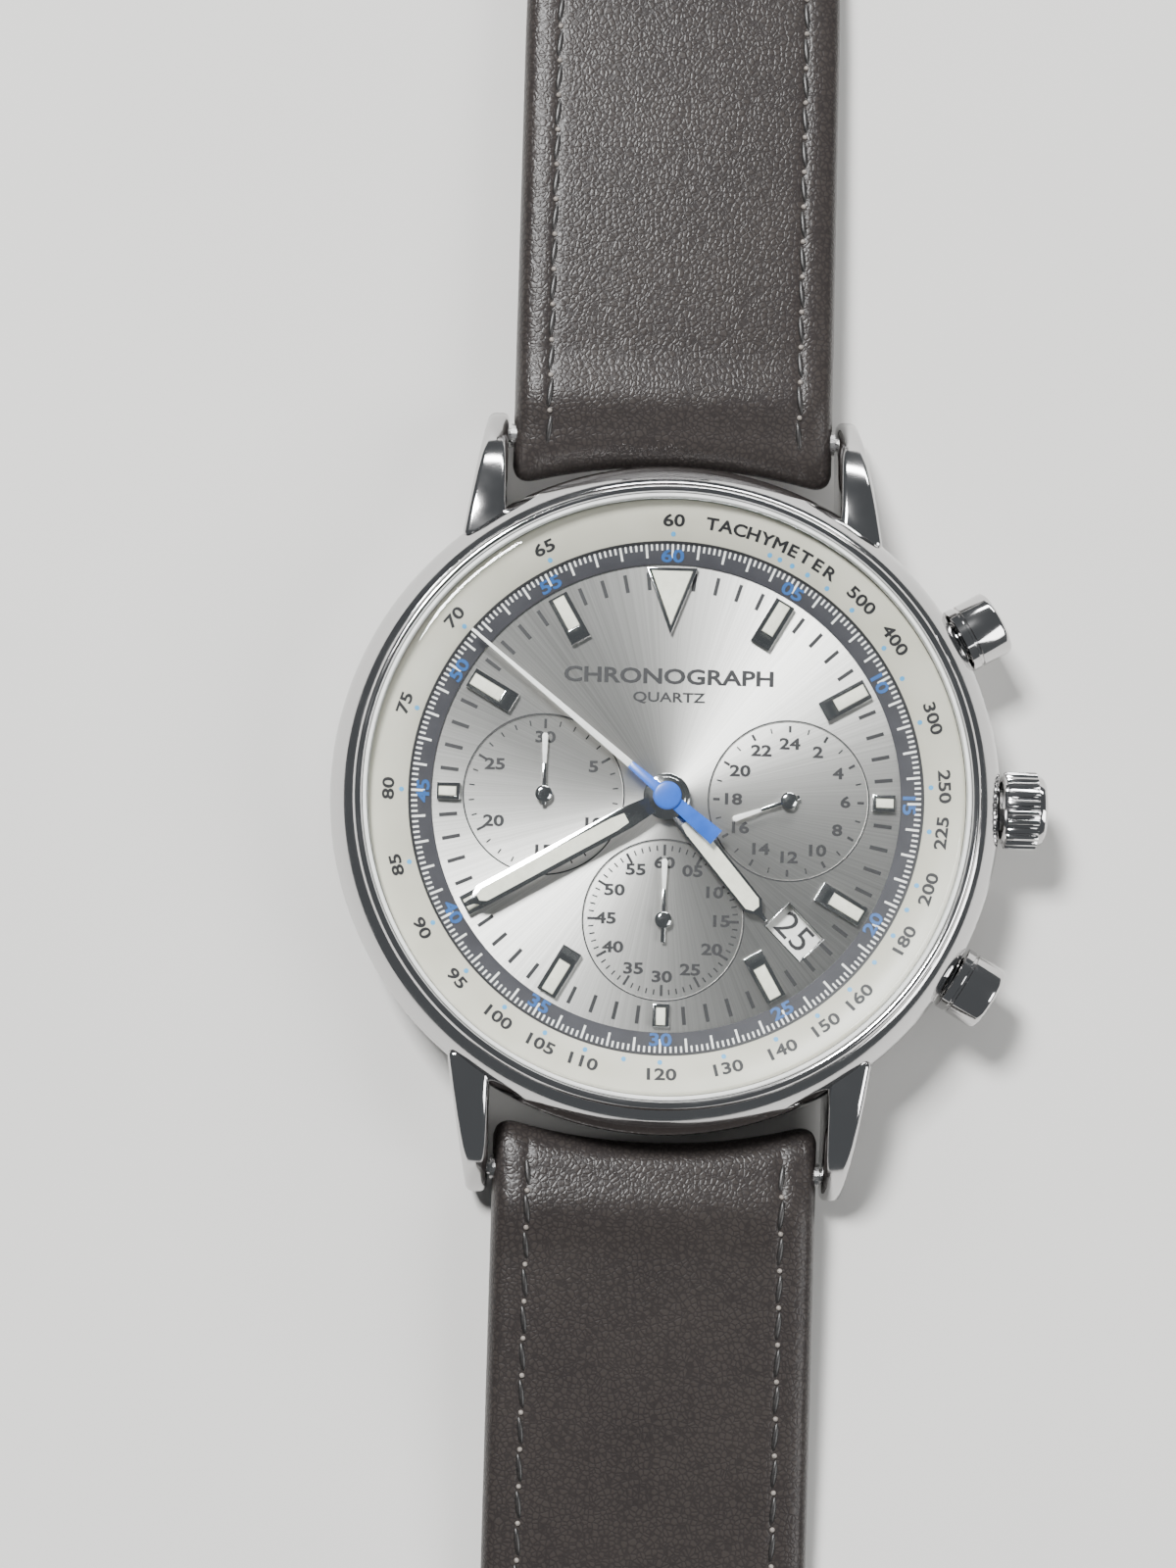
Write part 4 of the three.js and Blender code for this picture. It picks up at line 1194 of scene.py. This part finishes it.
small_hand("counter", "minute_counter_hand", SUBDIALS["counter"], 3.8, 0.7, 0)
small_hand("seconds", "small_seconds_hand", SUBDIALS["seconds"], 3.8, 1.4, 0)
small_hand("day_night", "day_night_hand", SUBDIALS["day_night"], 3.7, 0.7, DAY_NIGHT_ANGLE)

# %% [markdown]
# ## Date disc
# A white ring under the dial carries the figures 1 to 31, one to each 31st of a turn. The one in
# the window reads outwards along the radius.

# %% Date disc
DATE_TOP = high_corner("date_disc").z
TODAY = 25


def date_figures():
    days = {DATE_ANGLE + (day - TODAY) * 360 / 31: str(day) for day in range(1, 32)}
    return join("date_figures", figures_round(DATE_R, DATE_TOP + LIFT, 1.65, days,
                                              turn=lambda angle: angle - 90, widen=1.1))


finish(date_figures(), "date_figures", "date_disc", "white_print", finish_name="black_ink")
date_ring = turned([(9.85, 6.3), (13.6, 6.3), (13.6, DATE_TOP), (9.85, DATE_TOP)], 120)
finish(date_ring, "date_ring", "date_disc", "white_print", ["date_disc"])

# %% [markdown]
# ## Crown and pushers
# The crown's grip is a circle whose points are pulled in where the flutes run, then extruded and
# closed with a domed cap. The pushers are plain turned pistons with a fine groove near the case.

# %% Crown
CROWN_R = (high_corner("crown").z - low_corner("crown").z) / 2
CROWN_IN, CROWN_OUT = low_corner("crown").x, high_corner("crown").x
FLUTES, POINTS_PER_FLUTE = 24, 8
GRIP_LENGTH, CROWN_HOLLOW_R = 2.0, 1.84


def fluted_grip():
    clear_selection()
    points = FLUTES * POINTS_PER_FLUTE
    bpy.ops.mesh.primitive_circle_add(vertices=points, radius=CROWN_R * MM, fill_type="NGON",
                                      location=(0, 0, (CROWN_IN + 0.25) * MM))
    obj = apply_place(bpy.context.object)
    edit(obj)
    for depth, shares in ((0.93, (0, 1, 7)), (0.98, (2, 6))):
        select_points(obj, lambda p: round(math.atan2(p.y, p.x) * points / TAU)
                      % POINTS_PER_FLUTE in shares)
        bpy.ops.transform.resize(value=(depth, depth, 1), center_override=(0, 0, 0))
    bpy.ops.mesh.select_all(action="SELECT")
    extrude((0, 0, GRIP_LENGTH))
    tidy_mesh(obj)
    return soften(obj, 0.06, 2, 60)


def crown_cap():
    return turned([
        (0.5, CROWN_IN + 0.05), (2.1, CROWN_IN + 0.05), (2.2, CROWN_IN + 0.15),
        (2.2, CROWN_OUT - 0.5), (2.12, CROWN_OUT - 0.3), (1.9, CROWN_OUT - 0.14),
        (1.5, CROWN_OUT - 0.06), (0.8, CROWN_OUT), (0, CROWN_OUT), (0, CROWN_OUT - 0.4),
        (0.5, CROWN_OUT - 0.4),
    ], 96)


crown = combine(fluted_grip(), crown_cap(), "UNION")
hollow = turned([(0, CROWN_IN - 1), (CROWN_HOLLOW_R, CROWN_IN - 1), (CROWN_HOLLOW_R, CROWN_IN + 2),
                 (0, CROWN_IN + 2)], 64)
cut(crown, hollow)
finish(lay_along_x(crown), "fluted_crown", "crown", "polished_steel", ["crown"], smooth_angle=30)

# %% Pushers
def pusher():
    return turned([
        (0, 16.3), (0.6, 16.3), (0.6, 16.6), (0.42, 16.6), (0.42, 16.95), (0.6, 16.95),
        (0.6, 22.9), (1.45, 22.9), (1.45, 21.2), (2.04, 21.2), (2.1, 21.26), (2.1, 21.75),
        (2.0, 21.8), (2.0, 21.95), (2.1, 22.0), (2.1, 23.7), (2.05, 23.86), (1.93, 23.97),
        (1.75, 24.02), (0, 24.05),
    ], 96)


for side, angle in PUSHER_ANGLES.items():
    body = f"{side}_pusher"
    finish(lay_along_x(pusher(), angle), f"{side}_piston", body, "polished_steel", [body])

# %% [markdown]
# Behind each pusher's cap sits a coil spring. It is a small circle of wire screwed round the
# pusher's axis.

# %% Pusher springs
SPRING_START, SPRING_END, PUSHER_TRAVEL = 20.12, 22.68, 1.0
WIRE_R, COIL_R, COIL_TURNS = 0.16, 1.2, 4


def coil_spring():
    clear_selection()
    bpy.ops.mesh.primitive_circle_add(vertices=12, radius=WIRE_R * MM, rotation=(math.pi / 2, 0, 0),
                                      location=(COIL_R * MM, 0, (SPRING_START + WIRE_R) * MM))
    obj = apply_place(bpy.context.object)
    pitch = (SPRING_END - SPRING_START - 2 * WIRE_R) / COIL_TURNS
    modify(obj, "SCREW", screw_offset=pitch * MM, iterations=COIL_TURNS, steps=24, render_steps=24)
    edit(obj)
    bpy.ops.mesh.fill_holes(sides=0)
    return tidy_mesh(obj)


for side, angle in PUSHER_ANGLES.items():
    spring = finish(lay_along_x(coil_spring(), angle), f"{side}_coil", "case", "polished_steel",
                    [f"{side}_pusher_spring"])
    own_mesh(spring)

# %% [markdown]
# ## Case back
# A snap-on back, brushed in circles, with a shallow step, a chamfer and the small notch
# where a case knife lifts it.

# %% Case back
back = turned([
    (0, 0.12), (11.5, 0.12), (11.7, 0.0), (16.1, 0.0), (16.4, 0.04), (17.6, 0.38), (18.4, 1.0),
    (18.5, 1.15), (18.5, 1.48), (16.4, 1.48), (16.4, 2.35), (15.7, 2.35), (15.7, 1.2), (0, 1.2),
], 180)
notch = block((0, -18.6, 1.45), (4.0, 1.2, 0.7))
cut(back, notch)
finish(back, "snap_back", "case", "brushed_steel", ["case_back"])

# %% [markdown]
# ## Leather strap
# Each strap piece starts as a flat grid with its columns packed near the edges and the stitch
# lines. It is extruded to a slab, and its points are then moved: the width tapers, the padding
# swells just past the bar and thins towards the tail, the edges are turned down, and the thread
# pulls a shallow groove. A last subdivision rounds it.

# %% Strap proportions
STRAP_HALF = high_corner("strap_buckle_piece").x
TAIL_HALF = 9.0
END_HALF_THICKNESS = 1.62
CREST_HALF_THICKNESS = 2.0
TAIL_HALF_THICKNESS = 1.05
CREST_AT = 2.4
TAPER_START, TAPER_END = 26, 58
END_CORNER_R = 1.3
LOOP_R = 1.6
SPRING_BAR_BORE_R, BUCKLE_BAR_BORE_R = 0.88, 0.8
TONGUE_SLOT = (3.2, 8.0, 8.0)
STITCH_INSET = 2.25
STITCH_PITCH, STITCH_START = 2.3, 0.2
FROM_EDGE = (0.0, 0.14, 0.4, 0.8, 1.3, 1.8, 2.05, 2.25, 2.45, 2.75, 3.6, 5.2, 7.4, 10.2)
TOP_SHARE = (0.1, 0.5, 0.76, 0.88, 0.93, 0.945, 0.93, 0.9, 0.935, 0.955, 0.965, 0.98, 0.995, 1.0)
BOTTOM_SHARE = (0.1, 0.62, 0.88, 0.97, 1.0, 1.0, 1.0, 1.0, 1.0, 1.0, 1.0, 1.0, 1.0, 1.0)


def ease(value, start, end):
    share = min(max((value - start) / (end - start), 0), 1)
    return share * share * (3 - 2 * share)


def blend_values(a, b, share):
    return a + (b - a) * share


def strap_half_width(s):
    return blend_values(STRAP_HALF, TAIL_HALF, ease(s, TAPER_START, TAPER_END))


def strap_half_thickness(s):
    if s < CREST_AT:
        return blend_values(END_HALF_THICKNESS, CREST_HALF_THICKNESS, ease(s, -0.5, CREST_AT))
    near = blend_values(CREST_HALF_THICKNESS, 1.72, ease(s, CREST_AT, CREST_AT + 3.0))
    return blend_values(near, TAIL_HALF_THICKNESS, ease(s, 4, 45))


def strap_middle(s, tail_z):
    return blend_values(BAR_Z, tail_z, ease(s, 0, 45))


def strap_reach(x):
    """How far the case end reaches back from the bar: hollow along its middle, round-cornered."""
    hollow = 1.75 + 1.55 * (x / STRAP_HALF) ** 2
    corner = max(abs(x) - (STRAP_HALF - END_CORNER_R), 0) / END_CORNER_R
    return hollow - END_CORNER_R * (1 - math.sqrt(max(1 - corner * corner, 0)))


# %% Strap shaping
ALONG_STEPS = 96
NOSE_STEPS = 8


def strap_stations(length):
    """Distances from the bar, close together near the case and further apart later."""
    beyond = ALONG_STEPS - NOSE_STEPS
    return [None] * NOSE_STEPS + [length * (i / beyond) ** 1.3 for i in range(beyond + 1)]


def strap_slab(name):
    """A grid of the strap's columns and rows, extruded to a slab one unit thick."""
    clear_selection()
    columns = 2 * (len(FROM_EDGE) - 1)
    bpy.ops.mesh.primitive_grid_add(x_subdivisions=columns, y_subdivisions=ALONG_STEPS, size=2)
    obj = bpy.context.object
    obj.name = name
    edit(obj)
    bpy.ops.transform.translate(value=(0, 0, 1))
    bpy.ops.mesh.extrude_region_move(TRANSFORM_OT_translate={"value": (0, 0, -2)})
    return tidy_mesh(obj)


def shape_strap(obj, length, tail_z, end_style):
    """Moves the slab's points to the strap's form. Rows run along +Y from the case end."""
    stations = strap_stations(length)
    half_columns = len(FROM_EDGE) - 1
    for vertex in obj.data.vertices:
        column = round((vertex.co.x + 1) * half_columns)
        row = round((vertex.co.y + 1) / 2 * ALONG_STEPS)
        side = -1 if column < half_columns else 1
        index = column if side < 0 else 2 * half_columns - column
        share = TOP_SHARE[index] if vertex.co.z > 0 else -BOTTOM_SHARE[index]
        s = stations[row]
        x = side * strap_half_width(max(s or 0, 0)) * (1 - FROM_EDGE[index] / FROM_EDGE[-1])
        if s is None:
            turn = math.pi / 2 * (1 - row / NOSE_STEPS)
            s = -strap_reach(x) * math.sin(turn)
            half = END_HALF_THICKNESS * max(math.cos(turn), 0.12)
        else:
            half = strap_half_thickness(s)
            s, half = end_style(s, x, half, length)
        vertex.co = Vector((x, BAR_Y + s, strap_middle(s, tail_z) + share * half)) * MM


def buckle_loop(s, x, half, length):
    """The tail swells to a loop round the buckle's bar."""
    swell = 1 - ease(length - s, 1.2, 5)
    past = max(s + LOOP_R - length, 0)
    fold = math.sqrt(max(1 - past ** 2 / 2.6, 0.02))
    return s + swell * LOOP_R, blend_values(half, LOOP_R * fold, swell)


def blunt_tip(s, x, half, length):
    """The free end narrows to a blunt point, and its last edge thins."""
    share = abs(x) / TAIL_HALF
    pulled = s - 9 * share * share * ease(s, length - 20, length)
    return pulled, half * blend_values(1, 0.25, ease(s, length - 0.9, length))


def bar_tool(radius, y, z):
    tool = turned([(0, -12), (radius, -12), (radius, 12), (0, 12)], 32)
    tool.rotation_euler.y = math.radians(90)
    tool.location = Vector((0, y, z)) * MM
    return apply_place(tool)


def line_underside(obj):
    """Gives the faces that look down the lining's finish."""
    obj.data.materials.clear()
    obj.data.materials.append(FINISHES["grey_leather"])
    obj.data.materials.append(FINISHES["lining"])
    for face in obj.data.polygons:
        face.material_index = int(face.normal.z < -0.75)


# %% Buckle piece of the strap
BUCKLE_BAR_Y = (low_corner("buckle_bar").y + high_corner("buckle_bar").y) / 2
BUCKLE_BAR_Z = (low_corner("buckle_bar").z + high_corner("buckle_bar").z) / 2
BUCKLE_LENGTH = BUCKLE_BAR_Y - BAR_Y
HOLE_LENGTH = -low_corner("strap_hole_piece").y - BAR_Y
HOLE_TAIL_Z = 1.2

buckle_strap = strap_slab("buckle_strap")
shape_strap(buckle_strap, BUCKLE_LENGTH, BUCKLE_BAR_Z, buckle_loop)
tidy_mesh(buckle_strap)
modify(buckle_strap, "SUBSURF", levels=1, render_levels=1)
cut(buckle_strap, bar_tool(SPRING_BAR_BORE_R, BAR_Y, BAR_Z))
cut(buckle_strap, bar_tool(BUCKLE_BAR_BORE_R, BUCKLE_BAR_Y, BUCKLE_BAR_Z))
cut(buckle_strap, block((0, BUCKLE_BAR_Y + LOOP_R, BUCKLE_BAR_Z), TONGUE_SLOT))
line_underside(buckle_strap)
finish(buckle_strap, "buckle_strap", "strap_buckle_piece", "grey_leather", ["strap_buckle_piece"])

# %% Hole piece of the strap
hole_strap = strap_slab("hole_strap")
shape_strap(hole_strap, HOLE_LENGTH, HOLE_TAIL_Z, blunt_tip)
tidy_mesh(hole_strap)
modify(hole_strap, "SUBSURF", levels=1, render_levels=1)
cut(hole_strap, bar_tool(SPRING_BAR_BORE_R, BAR_Y, BAR_Z))
HOLES, HOLE_R, HOLE_PITCH, FIRST_HOLE = 7, 0.9, 6.5, 24.0
for i in range(HOLES):
    from_bar = HOLE_LENGTH - FIRST_HOLE - i * HOLE_PITCH
    drill(hole_strap, HOLE_R, -2, 6, (0, BAR_Y + from_bar))
line_underside(hole_strap)
hole_strap.rotation_euler.z = math.pi
finish(hole_strap, "hole_strap", "strap_hole_piece", "grey_leather", ["strap_hole_piece"])

# %% [markdown]
# ### Stitching
# A machine stitch shows as a line of black dashes that sink into the leather. Between two dashes
# sits a pale speck, a painted highlight where the leather rises between the stitches. One dash and
# one speck are modelled, then copied down both lines, lying on the leather's slope.

# %% Stitches
def strap_top(s, tail_z):
    """Height of the groove that the thread lies in."""
    return strap_middle(s, tail_z) + 0.915 * strap_half_thickness(s)


def pattern_ball(size):
    clear_selection()
    bpy.ops.mesh.primitive_uv_sphere_add(segments=10, ring_count=6, radius=0.5)
    obj = bpy.context.object
    obj.scale = Vector(size) * MM
    return apply_place(obj)


def stitch_row(pattern, side, start, end, tail_z, lift, offset, slant):
    """Copies of a pattern down one stitch line, as objects."""
    copies = []
    for i in range(int((end - start) / STITCH_PITCH)):
        s = start + offset + i * STITCH_PITCH
        slope = math.atan((strap_top(s + 0.2, tail_z) - strap_top(s - 0.2, tail_z)) / 0.4)
        x = side * strap_half_width(s) * (1 - STITCH_INSET / STRAP_HALF)
        copy = pattern.copy()
        copy.data = pattern.data.copy()
        copy.location = Vector((x, BAR_Y + s, strap_top(s, tail_z) + lift)) * MM
        copy.rotation_euler = (slope, 0, math.radians(slant) * side)
        bpy.context.scene.collection.objects.link(copy)
        copies.append(copy)
    return copies


def stitching(prefix, body, end, tail_z, half_turn):
    """Both lines of dashes and painted highlight specks on one strap piece, from its bar to a
    distance from it.
    """
    for name, size, lift, offset, slant, ink in (
            ("thread", (0.42, 1.9, 0.3), -0.02, 0, 7, "thread"),
            # the pale specks are painted highlights on the leather between two stitches
            ("painted_stitch_glints", (0.34, 0.34, 0.3), 0.03, STITCH_PITCH / 2, 0, "painted_stitch_glint")):
        pattern = pattern_ball(size)
        stitches = []
        for side in (-1, 1):
            stitches += stitch_row(pattern, side, STITCH_START, end, tail_z, lift, offset, slant)
        bpy.data.objects.remove(pattern)
        obj = apply_place(join(f"{prefix}_{name}", stitches))
        obj.rotation_euler.z = half_turn
        finish(obj, f"{prefix}_{name}", body, "grey_leather", finish_name=ink)


stitching("buckle_strap", "strap_buckle_piece", BUCKLE_LENGTH - 5.5, BUCKLE_BAR_Z, 0)
stitching("hole_strap", "strap_hole_piece", HOLE_LENGTH - 21, HOLE_TAIL_Z, math.pi)

# %% [markdown]
# ## Buckle and keepers
# A pin buckle: a rounded steel frame on its own bar, with a tongue that lies over the front bar.
# The two keepers are bands of the same leather, closed round the strap.

# %% Buckle frame and tongue
BUCKLE_TILT = 7.5
FRAME_HALF = high_corner("buckle_frame").x
FRAME_REACH = 9.6
FRAME_HALF_THICKNESS = 0.88


def rounded_outline(half, back, front, radius, steps=6):
    """A plate outline with its two front corners rounded."""
    arc = [math.pi / 2 * i / steps for i in range(steps + 1)]
    right = [(half - radius * (1 - math.cos(a)), front - radius * (1 - math.sin(a))) for a in arc]
    left = [(-x, y) for x, y in reversed(right)]
    return [(-half, back), (half, back)] + right + left


def tilt_with_buckle(obj):
    tilt = Matrix.Rotation(-math.radians(BUCKLE_TILT), 4, "X")
    bar = Matrix.Translation(Vector((0, BUCKLE_BAR_Y, BUCKLE_BAR_Z)) * MM)
    obj.matrix_world = bar @ tilt @ obj.matrix_world
    return apply_place(obj)


def buckle_frame():
    frame_plate = plate(rounded_outline(FRAME_HALF, -1.25, FRAME_REACH + 1.15, 2.6),
                        -FRAME_HALF_THICKNESS, FRAME_HALF_THICKNESS)
    opening = plate(rounded_outline(FRAME_HALF - 1.55, -4, FRAME_REACH - 1.0, 1.3), -3, 3)
    cut(frame_plate, opening)
    tidy_mesh(frame_plate)
    soften(frame_plate, 0.5, 5, 50)
    return tilt_with_buckle(frame_plate)


def buckle_tongue():
    loop = turned([(0.82, -1.08), (1.3, -1.08), (1.34, -1.0), (1.34, 1.0), (1.3, 1.08),
                   (0.82, 1.08)], 40)
    loop.rotation_euler.y = math.radians(90)
    apply_place(loop)
    blade = plate([(-0.85, 0.9), (0.85, 0.9), (0.8, 8.2), (0.6, 10.4), (0.25, 10.75),
                   (-0.25, 10.75), (-0.6, 10.4), (-0.8, 8.2)], 0.45, 1.33)
    soften(blade, 0.2, 4, 50)
    blade.rotation_euler.x = math.radians(5)
    apply_place(blade)
    return tilt_with_buckle(join("tongue", [blade, loop]))


finish(buckle_frame(), "pin_buckle", "buckle", "polished_steel", ["buckle_frame"])
finish(buckle_tongue(), "buckle_pin", "buckle_tongue", "polished_steel", ["buckle_tongue"])

# %% Keepers
KEEPER_WALL, KEEPER_CORNER = 1.0, 1.3


def rounded_rectangle(width, height, radius, steps=6):
    """The outline of a rectangle with four rounded corners, anticlockwise."""
    corners = ((1, 1), (-1, 1), (-1, -1), (1, -1))
    quarter = math.pi / 2
    return [(x * (width / 2 - radius) + radius * math.cos(quarter * (i + step / steps)),
             y * (height / 2 - radius) + radius * math.sin(quarter * (i + step / steps)))
            for i, (x, y) in enumerate(corners) for step in range(steps + 1)]


def keeper(node):
    """A leather band: a rounded bar whose ends are inset, opened and bridged through."""
    low, high = low_corner(node), high_corner(node)
    width, depth, height = high - low
    obj = plate(rounded_rectangle(width, height, KEEPER_CORNER), -depth / 2, depth / 2)
    edit(obj)
    select_faces(obj, lambda centre, normal: abs(normal.z) > 0.9)
    bpy.ops.mesh.inset(thickness=KEEPER_WALL * MM)
    bpy.ops.mesh.bridge_edge_loops()
    leave_edit()
    obj.rotation_euler.x = math.pi / 2
    obj.location = (low + high) / 2 * MM
    apply_place(obj)
    tidy_mesh(obj)
    return soften(obj, 0.2, 3, 50)


finish(keeper("fixed_keeper"), "fixed_loop", "strap_buckle_piece", "grey_leather", ["fixed_keeper"])
finish(keeper("free_keeper"), "free_loop", "free_keeper", "grey_leather", ["free_keeper"])

# %% [markdown]
# ## Table top
# The watch lies on a plain pale table, which is part of the studio and not of the watch.

# %% Table
clear_selection()
bpy.ops.mesh.primitive_plane_add(size=12, location=(0, 0, -0.03 * MM))
table = bpy.context.object
table.name = "table"
table.data.materials.append(FINISHES["table"])
